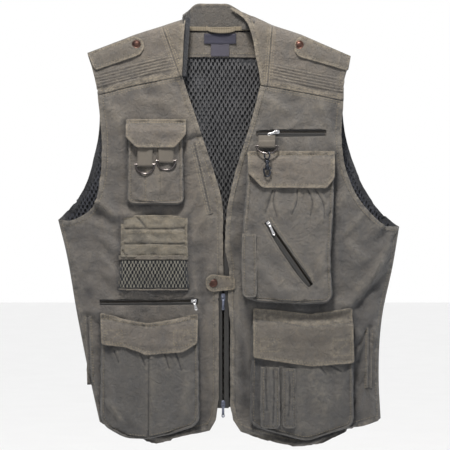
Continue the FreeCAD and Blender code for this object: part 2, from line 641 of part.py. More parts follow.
HOOK_Y = BIG_RING_Y - BIG_RING_RADIUS * math.sin(math.radians(BIG_RING_TILT))
HOOK_RING_Z = BIG_STRAP_LOOP_Z - BIG_RING_RADIUS * math.cos(math.radians(BIG_RING_TILT))
HOOK_ROOM = 0.3          # room between the pieces of the hook that turn on each other
EYE_Z = HOOK_RING_Z - (EYE_RADIUS - EYE_WIRE - BIG_RING_WIRE - HOOK_ROOM)
EYE_BOTTOM = EYE_Z - EYE_RADIUS - EYE_WIRE
COLLAR_TOP = EYE_BOTTOM - HOOK_ROOM
BLOCK_TOP = COLLAR_TOP - 3.0
BLOCK_BOTTOM = COLLAR_TOP - 15.0
BLOCK_HALF_WIDTH = 6.0
BLOCK_HALF_DEPTH = 2.6
BOW_Z = BLOCK_BOTTOM - 6.0       # where the hook's legs end and its half circle begins
STEM_RADIUS = 1.5
STEM_HEAD_RADIUS = 2.2
STEM_END = COLLAR_TOP - 5.0
STEM_HEAD = 1.0
BOLT_X = HOOK_REACH - 0.5
BOLT_TOP = BLOCK_BOTTOM + 4.0
BOLT_TRAVEL = 7.0
LUG_HALF = 0.7


def upright(radius, low, high, x=0.0):
    return rod(radius, high - low, (BIG_RING_X + x, HOOK_Y, low), (0, 0, 1))


def across_hook(x0, x1, half_depth, low, high):
    """A block in the hook, from x0 to x1 beside the swivel's axis."""
    return box(BIG_RING_X + x0, BIG_RING_X + x1, HOOK_Y - half_depth, HOOK_Y + half_depth, low, high)


def make_hook_eye():
    """The eye that hangs on the large ring, with the headed stem that the hook swivels on."""
    turn = math.radians(EYE_TURN)
    eye = Part.makeTorus(EYE_RADIUS, EYE_WIRE, Vector(BIG_RING_X, HOOK_Y, EYE_Z),
                         Vector(math.cos(turn), math.sin(turn), 0))
    stem = upright(STEM_RADIUS, STEM_END, EYE_BOTTOM + EYE_WIRE)
    head = upright(STEM_HEAD_RADIUS, STEM_END - STEM_HEAD, STEM_END)
    save("hook_eye", eye.fuse(stem).fuse(head))


def make_snap_hook():
    """The hook's body and bow, hollowed for the stem's head and for the bolt and its slot."""
    block = across_hook(-BLOCK_HALF_WIDTH, BLOCK_HALF_WIDTH, BLOCK_HALF_DEPTH, BLOCK_BOTTOM, BLOCK_TOP)
    neck = upright(3.4, BLOCK_TOP, COLLAR_TOP)
    leg = upright(HOOK_WIRE, BOW_Z, BLOCK_BOTTOM, -HOOK_REACH)
    tip = upright(HOOK_WIRE, BOW_Z, BOW_Z + 1.6, HOOK_REACH)
    bow = hanging_bow(Vector(BIG_RING_X, HOOK_Y, BOW_Z), HOOK_REACH, HOOK_WIRE)
    hook = block.fuse(neck).fuse(leg).fuse(bow).fuse(tip)
    hook = hook.cut(upright(STEM_RADIUS + 0.15, STEM_END, COLLAR_TOP))
    head_room = STEM_HEAD_RADIUS + HOOK_ROOM
    hook = hook.cut(upright(head_room, STEM_END - STEM_HEAD - 1.0, STEM_END + HOOK_ROOM))
    hook = hook.cut(upright(BOLT_RADIUS + 0.2, BLOCK_BOTTOM, BLOCK_TOP, BOLT_X))
    slot = across_hook(HOOK_REACH, HOOK_REACH + 3, LUG_HALF + HOOK_ROOM, BLOCK_BOTTOM, BLOCK_TOP)
    save("snap_hook", hook.cut(slot))


def make_hook_bolt():
    """The bolt that closes the hook, with the lug that the thumb pulls it by."""
    bolt = upright(BOLT_RADIUS, BOW_Z + 2.0, BOLT_TOP, BOLT_X)
    lug = across_hook(HOOK_REACH, HOOK_REACH + 2.6, LUG_HALF, BLOCK_BOTTOM + 0.8, BOLT_TOP)
    save("hook_bolt", bolt.fuse(lug))


def main():
    os.makedirs("parts", exist_ok=True)
    make_back()
    make_side_panels()
    make_front_panels()
    make_yokes()
    make_collar()
    make_neck_trim()
    make_straps()
    make_zips()
    make_right_pockets()
    make_left_pockets()
    make_hidden_pockets()
    make_rings()
    make_hook_eye()
    make_snap_hook()
    make_hook_bolt()


main()
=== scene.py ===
"""Looks for a hanging fishing vest: cloth, stitching, mesh, webbing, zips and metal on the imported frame.

Inside the script, sizes are in millimetres in the vest's own directions: x from the wearer's right (-) to
the wearer's left (+), y from the front (-) to the back (+), h the height above the hem's lowest point.
to_row() turns them into metres in the frame's own axes, whose origin is in the hang loop.
"""

import json
import math

import bpy
import numpy as np
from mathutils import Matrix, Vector
from mathutils.bvhtree import BVHTree
from mathutils.geometry import delaunay_2d_cdt


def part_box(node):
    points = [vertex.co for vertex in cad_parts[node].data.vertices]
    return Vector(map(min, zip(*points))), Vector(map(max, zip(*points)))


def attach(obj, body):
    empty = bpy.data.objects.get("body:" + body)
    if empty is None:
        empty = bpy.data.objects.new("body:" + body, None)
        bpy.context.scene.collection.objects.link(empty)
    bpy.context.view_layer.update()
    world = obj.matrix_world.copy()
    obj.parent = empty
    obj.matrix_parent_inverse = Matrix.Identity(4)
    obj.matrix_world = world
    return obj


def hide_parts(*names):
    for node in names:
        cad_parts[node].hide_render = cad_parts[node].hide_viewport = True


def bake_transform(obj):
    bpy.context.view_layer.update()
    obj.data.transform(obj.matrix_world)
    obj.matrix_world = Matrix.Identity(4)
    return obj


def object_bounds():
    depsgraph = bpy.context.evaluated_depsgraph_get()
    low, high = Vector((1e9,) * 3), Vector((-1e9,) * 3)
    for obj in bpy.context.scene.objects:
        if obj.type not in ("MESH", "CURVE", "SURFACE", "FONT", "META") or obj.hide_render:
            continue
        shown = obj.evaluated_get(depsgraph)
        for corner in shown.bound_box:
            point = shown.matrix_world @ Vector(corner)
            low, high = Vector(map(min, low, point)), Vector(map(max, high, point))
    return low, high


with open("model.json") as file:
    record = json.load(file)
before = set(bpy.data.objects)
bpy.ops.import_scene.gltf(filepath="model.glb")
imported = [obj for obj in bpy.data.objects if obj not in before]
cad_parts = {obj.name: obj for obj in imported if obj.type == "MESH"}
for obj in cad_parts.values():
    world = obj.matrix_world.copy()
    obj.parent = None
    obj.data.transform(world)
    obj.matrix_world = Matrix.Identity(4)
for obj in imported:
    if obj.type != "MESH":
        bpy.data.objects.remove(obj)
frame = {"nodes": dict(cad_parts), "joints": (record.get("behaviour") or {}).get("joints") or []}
cad_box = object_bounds()

HANG = np.array([-6.0, -2.0, 666.0])
MM = 0.001

# ---- layers of the shell, as y positions ----
FRONT = -28.0
BACK = 5.0
MIDDLE = -11.5
SIDE_ROUND = 34.0        # how far in from a side seam the cloth curves
SHOULDER_ROUND = 20.0
CLOTH = 1.3              # thickness of one layer of twill, as shown

FAR = 1e9                # farther than anything on the vest
RAY_START = 150.0        # how far in front of or behind the vest a ray starts
ALONG_Y = Vector((0, 1, 0))

# ---- seam lines of the shell, as (x, h) ----
RIGHT_SIDE = [(-202, 36), (-220, 117), (-238, 208), (-257, 314), (-269, 362)]
LEFT_SIDE = [(251, 42), (248, 100), (253, 204), (271, 291), (281, 351)]
RIGHT_ARMHOLE = [(-269, 362), (-247, 361), (-221, 374), (-200, 425), (-196, 480), (-204, 562)]
LEFT_ARMHOLE = [(281, 351), (261, 355), (221, 389), (192, 450), (186, 500), (190, 553)]
RIGHT_YOKE_ARMHOLE = [(-204, 562), (-211, 597), (-222, 631)]
LEFT_YOKE_ARMHOLE = [(190, 553), (192, 590), (203, 626)]
RIGHT_ARMHOLE_BACK = [(-269, 362), (-237, 401), (-209, 475), (-203, 543), (-207, 585), (-222, 631)]
LEFT_ARMHOLE_BACK = [(281, 351), (259, 371), (219, 429), (193, 512), (192, 580), (203, 626)]
RIGHT_SHOULDER = [(-222, 631), (-144, 661), (-101, 674.5), (-68, 685.4)]
LEFT_SHOULDER = [(203, 626), (122, 661), (76, 676), (48, 685.7)]
RIGHT_NECK = [(-69, 592), (-39, 502), (-18, 438), (-5, 390), (-3.5, 333), (-3.5, 277)]
LEFT_NECK = [(57, 578), (43, 528), (14, 434), (4, 390), (0, 350), (0, 319)]
RIGHT_EDGE = [(-3.5, 277), (-10, 245), (-10.5, 71), (-14, 45), (-24, 28)]
LEFT_EDGE = [(0, 319), (6, 286), (4.5, 245), (4.5, 71), (9, 45), (22, 27)]
RIGHT_HEM = [(-24, 28), (-66, 18), (-112, 8), (-154, 28), (-202, 36)]
LEFT_HEM = [(22, 27), (53, 16), (128, 1), (191, 25), (251, 42)]
BACK_HEM = [(-202, 36), (0, 62), (251, 42)]
RIGHT_YOKE_SEAM = [(-72, 591.3), (-140, 578), (-204, 562)]
LEFT_YOKE_SEAM = [(68, 575.9), (130, 565), (190, 553)]
NECK_SEAM_H = 671.0
FACING_H = 624.0


# ------------------------------------------------------------------ lines ----

def straight(points, step=4.0):
    """Points close together on the straight lines through the given ones."""
    line = [points[0]]
    for (x0, h0), (x1, h1) in zip(points[:-1], points[1:]):
        parts = max(1, round(math.hypot(x1 - x0, h1 - h0) / step))
        for k in range(1, parts + 1):
            line.append((x0 + (x1 - x0) * k / parts, h0 + (h1 - h0) * k / parts))
    return np.array(line, float)


def hermite(a, b, leaving, arriving, t):
    """A point on the curve from a to b that leaves and arrives in the given directions."""
    return ((2 * t**3 - 3 * t**2 + 1) * a + (t**3 - 2 * t**2 + t) * leaving
            + (3 * t**2 - 2 * t**3) * b + (t**3 - t**2) * arriving)


def smooth(points, step=4.0):
    """Points close together on a smooth line through the given ones."""
    given = np.array(points, float)
    along = np.r_[0, np.cumsum(np.linalg.norm(np.diff(given, axis=0), axis=1))]
    slope = np.gradient(given, along, axis=0)
    line = [given[0]]
    for i in range(len(given) - 1):
        span = along[i + 1] - along[i]
        parts = max(1, round(span / step))
        for k in range(1, parts + 1):
            line.append(hermite(given[i], given[i + 1], span * slope[i], span * slope[i + 1], k / parts))
    return np.array(line)


def ring(*lines):
    """One closed outline out of lines that follow each other."""
    points = []
    for line in lines:
        for p in line:
            if not points or math.hypot(p[0] - points[-1][0], p[1] - points[-1][1]) > 0.4:
                points.append((float(p[0]), float(p[1])))
    if math.hypot(points[0][0] - points[-1][0], points[0][1] - points[-1][1]) < 0.4:
        points.pop()
    return np.array(points)


def cornered(points, soft=6.0, step=3.0):
    """A line through corner points whose corners are rounded off."""
    given = [np.array(p, float) for p in points]
    line = [given[0]]
    for before, at, after in zip(given[:-2], given[1:-1], given[2:]):
        r = min(soft, np.linalg.norm(before - at) / 2, np.linalg.norm(after - at) / 2)
        a = at + (before - at) / np.linalg.norm(before - at) * r
        b = at + (after - at) / np.linalg.norm(after - at) * r
        for t in (0.0, 0.25, 0.5, 0.75, 1.0):
            line.append((1 - t) ** 2 * a + 2 * t * (1 - t) * at + t * t * b)
    line.append(given[-1])
    return ring_open(straight([tuple(p) for p in line], step))


def ring_open(line):
    """A line without points that lie on top of each other."""
    kept = [line[0]]
    for p in line[1:]:
        if np.linalg.norm(p - kept[-1]) > 0.5:
            kept.append(p)
    return np.array(kept)


def rounded(points, soft=5.0, step=3.0):
    """A closed outline through corner points whose corners are rounded off."""
    middle = ((points[0][0] + points[-1][0]) / 2, (points[0][1] + points[-1][1]) / 2)
    return ring(cornered([middle] + list(points) + [middle], soft, step))


def gap(points, line, closed=False):
    """Each point's distance to a line."""
    flat = np.asarray(points, float)[:, :2]
    line = np.asarray(line, float)
    if closed:
        line = np.vstack([line, line[:1]])
    best = np.full(len(flat), FAR)
    for a, b in zip(line[:-1], line[1:]):
        run = b - a
        t = np.clip(((flat - a) @ run) / max(run @ run, 1e-9), 0, 1)
        best = np.minimum(best, np.linalg.norm(flat - (a + t[:, None] * run), axis=1))
    return best


def gap_to_any(points, lines):
    """Each point's distance to the nearest of several lines."""
    return np.minimum.reduce([np.full(len(points), FAR)] + [gap(points, line) for line in lines])


def inside(points, outline):
    """Which points lie within a closed outline."""
    x, h = points[:, 0], points[:, 1]
    found = np.zeros(len(points), bool)
    for (x0, h0), (x1, h1) in zip(outline, np.roll(outline, -1, axis=0)):
        crosses = (h0 > h) != (h1 > h)
        if h0 != h1:
            found ^= crosses & (x < (x1 - x0) * (h - h0) / (h1 - h0) + x0)
    return found


def inset(outline, distance):
    """The outline moved inwards, or outwards for a distance below 0."""
    ahead = np.roll(outline, -1, axis=0) - np.roll(outline, 1, axis=0)
    ahead /= np.linalg.norm(ahead, axis=1)[:, None]
    x, h = outline[:, 0], outline[:, 1]
    turn = np.sign(np.sum(x * np.roll(h, -1) - np.roll(x, -1) * h))
    return outline + turn * distance * np.stack([-ahead[:, 1], ahead[:, 0]], axis=1)


def offset(line, distance):
    """An open line moved sideways, to its left where distance is above 0."""
    line = np.asarray(line, float)
    ahead = np.gradient(line, axis=0)
    ahead /= np.linalg.norm(ahead, axis=1)[:, None]
    return line + distance * np.stack([-ahead[:, 1], ahead[:, 0]], axis=1)


def bump(d, middle, width):
    """1 on a line, falling away smoothly to both sides."""
    return np.exp(-((d - middle) / width) ** 2)


def step_down(d, edge, width):
    """1 below edge, 0 above it, with a smooth step between."""
    t = np.clip((d - edge) / width + 0.5, 0, 1)
    return 1 - t * t * (3 - 2 * t)


# ------------------------------------------------------------------ cloth ----

def cut(outline, spacing=4.5, rings=(), lines=(), holes=(), toward=-1):
    """Triangles that fill an outline and look toward -y (toward=-1) or +y (toward=1).

    There are extra rows of points at the distances in rings from the edge, and on the lines.
    """
    extra = [inset(outline, d) for d in rings] + [np.asarray(line) for line in lines]
    extra += [inset(hole, -2.0) for hole in holes]
    low, high = outline.min(0), outline.max(0)
    rows = []
    row_height = spacing * 0.866
    for j in range(int((high[1] - low[1]) / row_height) + 1):
        shift = spacing / 2 if j % 2 else 0
        xs = np.arange(low[0] + shift, high[0], spacing)
        rows.append(np.stack([xs, np.full(len(xs), low[1] + j * row_height)], axis=1))
    fill = np.vstack(rows)
    fill = fill[inside(fill, outline)]
    fill = fill[gap(fill, outline, closed=True) > spacing * 0.5]
    kept = [outline]
    for k, points in enumerate(extra):
        points = points[inside(points, outline)]
        reach = gap(points, outline, closed=True)
        least = rings[k] * 0.9 if k < len(rings) else 0.6
        points = points[reach > least]
        if len(points):
            kept.append(points)
            if len(fill):
                fill = fill[nearest(fill, points) > spacing * 0.45]
    kept.append(fill)
    all_points = np.vstack(kept)
    for hole in holes:
        away = ~inside(all_points, hole) & (gap(all_points, hole, closed=True) > 1.0)
        away[:len(outline)] = True
        all_points = all_points[away]
    edges = []
    start = 0
    for loop in (outline, *holes):
        if start:
            start = len(all_points)
            all_points = np.vstack([all_points, loop])
        count = len(loop)
        edges += [(start + i, start + (i + 1) % count) for i in range(count)]
        start = start + count
    result = delaunay_2d_cdt([Vector(p) for p in all_points], edges, [], 1, 1e-4)
    points = np.array([tuple(v) for v in result[0]])
    faces = [tuple(f) for f in result[2]]
    for hole in holes:
        middles = np.array([points[list(f)].mean(axis=0) for f in faces])
        within = inside(middles, hole)
        faces = [f for f, gone in zip(faces, within) if not gone]
    used = sorted({i for f in faces for i in f})
    renamed = {old: new for new, old in enumerate(used)}
    return points[used], facing([tuple(renamed[i] for i in f) for f in faces], points[used], toward)


def nearest(points, others):
    """Each point's distance to the nearest of the others, worked out in parts to save memory."""
    best = np.full(len(points), FAR)
    for start in range(0, len(others), 200):
        part = others[start:start + 200]
        d = np.linalg.norm(points[:, None, :] - part[None, :, :], axis=2).min(axis=1)
        best = np.minimum(best, d)
    return best


SHELL_SIDES = (smooth(RIGHT_SIDE, 12), smooth(LEFT_SIDE, 12))
SHELL_SHOULDERS = (straight(RIGHT_SHOULDER, 12), straight(LEFT_SHOULDER, 12))


def roundness(points):
    """0 on the side and shoulder seams, 1 where the front and the back lie flat."""
    side = np.minimum(gap(points, SHELL_SIDES[0]), gap(points, SHELL_SIDES[1])) / SIDE_ROUND
    shoulder = np.minimum(gap(points, SHELL_SHOULDERS[0]), gap(points, SHELL_SHOULDERS[1])) / SHOULDER_ROUND
    d = np.clip(np.minimum(side, shoulder), 0, 1)
    return np.sqrt(1 - (1 - d) ** 2)


def in_space(flat, y):
    """Flat (x, h) points at some depth."""
    return np.stack([flat[:, 0], y, flat[:, 1]], axis=1)


def front_y(points):
    """The y position of the fronts' outer face."""
    return MIDDLE - (MIDDLE - FRONT) * roundness(points)


def back_y(points):
    """The y position of the back's outer face."""
    return MIDDLE + (BACK - MIDDLE) * roundness(points)


def neck_y(points):
    """The front's surface up to the shoulder line, and from there on back toward the collar."""
    line = np.array(LEFT_SHOULDER[::-1] if points[:, 0].mean() > 0 else RIGHT_SHOULDER)
    over = points[:, 1] - np.interp(points[:, 0], line[:, 0], line[:, 1])
    return np.where(over > 0, MIDDLE + 0.5 * over, front_y(points))


def rumple(points, size, seed, stretch=(1.0, 1.0)):
    """Smooth noise, from about -1 to 1, over the cloth. Its hills are about as far apart as size."""
    at = np.asarray(points, float)[:, :2] * np.array(stretch) / size + seed * 3.17
    cell = np.floor(at)
    part = at - cell
    blend = part ** 3 * (part * (part * 6 - 15) + 10)

    def corner(dx, dh):
        value = np.sin((cell[:, 0] + dx) * 127.1 + (cell[:, 1] + dh) * 311.7 + seed * 74.7) * 43758.5453
        angle = (value - np.floor(value)) * 2 * math.pi
        return np.cos(angle) * (part[:, 0] - dx) + np.sin(angle) * (part[:, 1] - dh)

    low = corner(0, 0) * (1 - blend[:, 0]) + corner(1, 0) * blend[:, 0]
    high = corner(0, 1) * (1 - blend[:, 0]) + corner(1, 1) * blend[:, 0]
    return 1.5 * (low * (1 - blend[:, 1]) + high * blend[:, 1])


def creases(points, size, seed, stretch=(1.0, 1.0)):
    """Narrow ridges between wide hollows, as old creases in washed cotton."""
    return 1 - np.abs(rumple(points, size, seed, stretch)) * 3.2


def thicken(points, faces, thickness):
    """A closed piece of cloth: the faces as given, the same ones behind them, and the edge between."""
    normals = face_normals(points, faces)
    count = len(points)
    both = np.vstack([points, points - normals * thickness])
    result = [tuple(f) for f in faces] + [tuple(i + count for i in reversed(f)) for f in faces]
    for a, b in border(faces):
        result.append((b, a, a + count, b + count))
    return both, result


def border(faces):
    """Directed edges that belong to one face only."""
    seen = {}
    for f in faces:
        for i, a in enumerate(f):
            b = f[(i + 1) % len(f)]
            key = (min(a, b), max(a, b))
            if key in seen:
                seen[key] = None
            else:
                seen[key] = (a, b)
    return [edge for edge in seen.values() if edge]


def triangles(points, faces):
    """The faces split into triangles, and each triangle's normal, as long as twice its area."""
    tris = np.array([(f[0], f[i], f[i + 1]) for f in faces for i in range(1, len(f) - 1)])
    a, b, c = points[tris[:, 0]], points[tris[:, 1]], points[tris[:, 2]]
    return tris, np.cross(b - a, c - a)


def face_normals(points, faces):
    """Each point's normal, from the faces round it."""
    tris, cross = triangles(points, faces)
    normals = np.zeros_like(points)
    for k in range(3):
        np.add.at(normals, tris[:, k], cross)
    length = np.linalg.norm(normals, axis=1)
    length[length == 0] = 1
    return normals / length[:, None]


def area_of(points, faces):
    """The faces' area, in square millimetres."""
    return float(np.linalg.norm(triangles(points, faces)[1], axis=1).sum() / 2)


def facing(faces, points, toward):
    """Faces turned so that they look toward -y (toward=-1) or +y (toward=1)."""
    turned = []
    for f in faces:
        a, b, c = (points[i] for i in f[:3])
        cross = (b[0] - a[0]) * (c[1] - a[1]) - (b[1] - a[1]) * (c[0] - a[0])
        looks_front = cross > 0
        turned.append(tuple(f) if looks_front == (toward < 0) else tuple(reversed(f)))
    return turned


SIMULATED_UNIT = 0.01        # a millimetre as the cloth solver sees it: larger cloth settles more steadily
STIFFNESS = 12.0


def settle(points, faces, pins, growth=0.02, frames=16, gravity=1.0):
    """Let cloth hang from its pinned points, a little too large for the space that it is sewn into."""
    mesh = bpy.data.meshes.new("hanging")
    mesh.from_pydata((points * SIMULATED_UNIT).tolist(), [], [list(f) for f in faces])
    piece = bpy.data.objects.new("hanging", mesh)
    scene = bpy.context.scene
    scene.collection.objects.link(piece)
    group = piece.vertex_groups.new(name="pins")
    for index, weight in enumerate(pins):
        if weight > 0.01:
            group.add([index], float(weight), "REPLACE")
    cloth = piece.modifiers.new("cloth", "CLOTH")
    cloth.settings.quality = 5
    cloth.settings.mass = 0.2
    cloth.settings.tension_stiffness = STIFFNESS
    cloth.settings.compression_stiffness = STIFFNESS
    cloth.settings.shear_stiffness = STIFFNESS * 0.6
    cloth.settings.bending_stiffness = 0.4
    cloth.settings.air_damping = 3.0
    cloth.settings.vertex_group_mass = "pins"
    cloth.settings.shrink_min = -growth
    cloth.settings.effector_weights.gravity = gravity
    cloth.collision_settings.use_collision = False
    cloth.point_cache.frame_start = 1
    cloth.point_cache.frame_end = frames
    for number in range(1, frames + 1):
        scene.frame_set(number)
    shown = piece.evaluated_get(bpy.context.evaluated_depsgraph_get())
    co = np.zeros(len(points) * 3)
    shown.data.vertices.foreach_get("co", co)
    scene.frame_set(1)
    bpy.data.objects.remove(piece)
    bpy.data.meshes.remove(mesh)
    return co.reshape(-1, 3) / SIMULATED_UNIT


def capped(moved, still, outward, inward, sideways=4.0):
    """Moved points, held within some distance of where they were."""
    change = moved - still
    change[:, 1] = np.clip(change[:, 1], -outward, inward)
    change[:, 0] = np.clip(change[:, 0], -sideways, sideways)
    change[:, 2] = np.clip(change[:, 2], -sideways, sideways)
    return still + change


def tree_of(points, faces):
    """Faces in a form that rays can be shot at."""
    return BVHTree.FromPolygons([tuple(p) for p in points], faces)


def lay_over(points, trees, room):
    """Move points forward where they would be in or behind what lies under them."""
    moved = points.copy()
    for i, (x, _, h) in enumerate(points):
        for tree in trees:
            hit = tree.ray_cast(Vector((x, -RAY_START, h)), ALONG_Y)
            if hit[0] is not None and moved[i, 1] > hit[0].y - room:
                moved[i, 1] = hit[0].y - room
    return moved


def to_row(points):
    """Points in the frame's own metres."""
    return (np.asarray(points, float) - HANG) * MM


def add(name, points, faces, material, body="vest", stands_for=(), marks=None, flat=False):
    """A mesh object that rides on a body.

    marks gives each point's values of the attributes that its material reads.
    """
    mesh = bpy.data.meshes.new(name)
    mesh.from_pydata(to_row(points).tolist(), [], [list(f) for f in faces])
    for key, values in (marks or {}).items():
        layer = mesh.attributes.new(key, "FLOAT", "POINT")
        layer.data.foreach_set("value", np.asarray(values, np.float32))
    mesh.validate()
    mesh.materials.append(material)
    mesh.polygons.foreach_set("use_smooth", [not flat] * len(mesh.polygons))
    piece = bpy.data.objects.new(name, mesh)
    bpy.context.scene.collection.objects.link(piece)
    if body:
        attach(piece, body)
    if stands_for:
        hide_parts(*stands_for)
    return piece


def double(marks):
    """Marks for the front and the back face of a thickened piece."""
    return {key: np.concatenate([values, values]) for key, values in marks.items()}


def marks_of(wear, painted_shade):
    """How worn each point is, and how much painted shade it gets: the two attributes that the twill reads."""
    return {"wear": wear, "painted_shade": painted_shade}


def unmarked(points):
    """The marks of cloth that is neither worn nor painted with shade."""
    return {key: np.zeros(len(points)) for key in ("wear", "painted_shade")}


def add_cloth(name, points, faces, thickness, material, body="vest", stands_for=(), marks=None):
    """A sheet of cloth, given its thickness and the same marks on both of its faces."""
    both, all_faces = thicken(points, faces, thickness)
    return add(name, both, all_faces, material, body, stands_for, double(marks or {}))


def declare(size, area, grows=True):
    """Work out how large a sheet was when it was cut, from its box in millimetres and the area of cloth in it; the
    result is not kept.

    Where a bent piece has more cloth than its box, the box grows, or with grows=False the area is the box's.
    """
    size = np.array(size, float) * MM
    if grows:
        size *= max(1.0, math.sqrt(area * MM * MM / (size[0] * size[1])) * 1.001)


def bend(piece):
    """Bake a piece's placement into its mesh."""
    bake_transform(piece)


def extent(outline):
    """How wide and how high an outline is."""
    return outline.max(0) - outline.min(0)


# -------------------------------------------------------------- materials ----

def linear(rgb):
    """A colour from its 0 to 255 screen values."""
    screen = [v / 255 for v in rgb]
    return tuple(c / 12.92 if c <= 0.04045 else ((c + 0.055) / 1.055) ** 2.4 for c in screen)


def times(colour, factor):
    """A paler or a deeper colour."""
    return tuple(min(1, c * factor) for c in colour)


class Nodes:
    """Short names for building a material's node tree."""

    def __init__(self, name, roughness, metallic=0.0, sheen=0.0):
        self.material = bpy.data.materials.new(name)
        self.material.use_nodes = True
        self.tree = self.material.node_tree
        self.shader = self.tree.nodes["Principled BSDF"]
        self.shader.inputs["Roughness"].default_value = roughness
        self.shader.inputs["Metallic"].default_value = metallic
        self.shader.inputs["Sheen Weight"].default_value = sheen
        self.place = self.new("ShaderNodeTexCoord").outputs["Object"]

    def new(self, kind, **values):
        node = self.tree.nodes.new(kind)
        for key, value in values.items():
            setattr(node, key, value)
        return node

    def link(self, source, target):
        self.tree.links.new(source, target)

    def noise(self, scale, detail=3.0, rough=0.55, stretch=None, distortion=0.0):
        """Cloudy noise, from 0 to 1."""
        node = self.new("ShaderNodeTexNoise")
        node.inputs["Scale"].default_value = scale
        node.inputs["Detail"].default_value = detail
        node.inputs["Roughness"].default_value = rough
        node.inputs["Distortion"].default_value = distortion
        self.link(self.mapped(stretch), node.inputs["Vector"])
        return node.outputs["Fac"]

    def mapped(self, stretch=None, turn=0.0):
        """Object coordinates, stretched or turned about y."""
        if stretch is None and not turn:
            return self.place
        node = self.new("ShaderNodeMapping")
        node.inputs["Scale"].default_value = stretch or (1, 1, 1)
        node.inputs["Rotation"].default_value = (0, math.radians(turn), 0)
        self.link(self.place, node.inputs["Vector"])
        return node.outputs["Vector"]

    def wave(self, scale, turn, distortion=0.6):
        """Ridges that run at an angle across the cloth."""
        node = self.new("ShaderNodeTexWave", wave_type="BANDS", bands_direction="X", wave_profile="SIN")
        node.inputs["Scale"].default_value = scale
        node.inputs["Distortion"].default_value = distortion
        node.inputs["Detail"].default_value = 1.0
        node.inputs["Detail Scale"].default_value = 1.5
        self.link(self.mapped(turn=turn), node.inputs["Vector"])
        return node.outputs["Fac"]

    def math(self, operation, a, b=0.5, clamp=False):
        """One arithmetic node. a and b are sockets or numbers."""
        node = self.new("ShaderNodeMath", operation=operation, use_clamp=clamp)
        for socket, value in zip(node.inputs, (a, b)):
            if isinstance(value, (int, float)):
                socket.default_value = value
            else:
                self.link(value, socket)
        return node.outputs[0]

    def spread(self, value, low, high, to_low=0.0, to_high=1.0):
        """A value's range from low to high, moved to another range."""
        node = self.new("ShaderNodeMapRange")
        for key, number in (("From Min", low), ("From Max", high), ("To Min", to_low), ("To Max", to_high)):
            node.inputs[key].default_value = number
        self.link(value, node.inputs["Value"])
        return node.outputs["Result"]

    def split(self, vector):
        """A vector's x, y and z."""
        node = self.new("ShaderNodeSeparateXYZ")
        self.link(vector, node.inputs[0])
        return node.outputs

    def mark(self, name):
        """An attribute that add() gave the mesh."""
        return self.new("ShaderNodeAttribute", attribute_name=name).outputs["Fac"]

    def mix(self, share, a, b, blend="MIX"):
        """Two colours mixed. Each of share, a and b is a socket, a number or a colour."""
        node = self.new("ShaderNodeMix", data_type="RGBA", blend_type=blend)
        for socket, value in ((node.inputs["Factor"], share), (node.inputs[6], a), (node.inputs[7], b)):
            if isinstance(value, (int, float)):
                socket.default_value = value
            elif isinstance(value, tuple):
                socket.default_value = value + (1.0,)
            else:
                self.link(value, socket)
        return node.outputs[2]

    def colour(self, value):
        self.link(value, self.shader.inputs["Base Color"])

    def roughness(self, value):
        self.link(value, self.shader.inputs["Roughness"])

    def relief(self, *layers):
        """Bump, as (height, distance in metres) pairs."""
        before = None
        for height, distance in layers:
            node = self.new("ShaderNodeBump")
            node.inputs["Strength"].default_value = 1.0
            node.inputs["Distance"].default_value = distance
            self.link(height, node.inputs["Height"])
            if before:
                self.link(before, node.inputs["Normal"])
            before = node.outputs["Normal"]
        self.link(before, self.shader.inputs["Normal"])


SHADED_SIDES = (0.12, 0.25)          # painted shade deepens toward the side seams, between these distances in metres from the middle
SHADED_BOTTOM = (-0.3, -0.56)        # and toward the hem, in metres below the hang loop


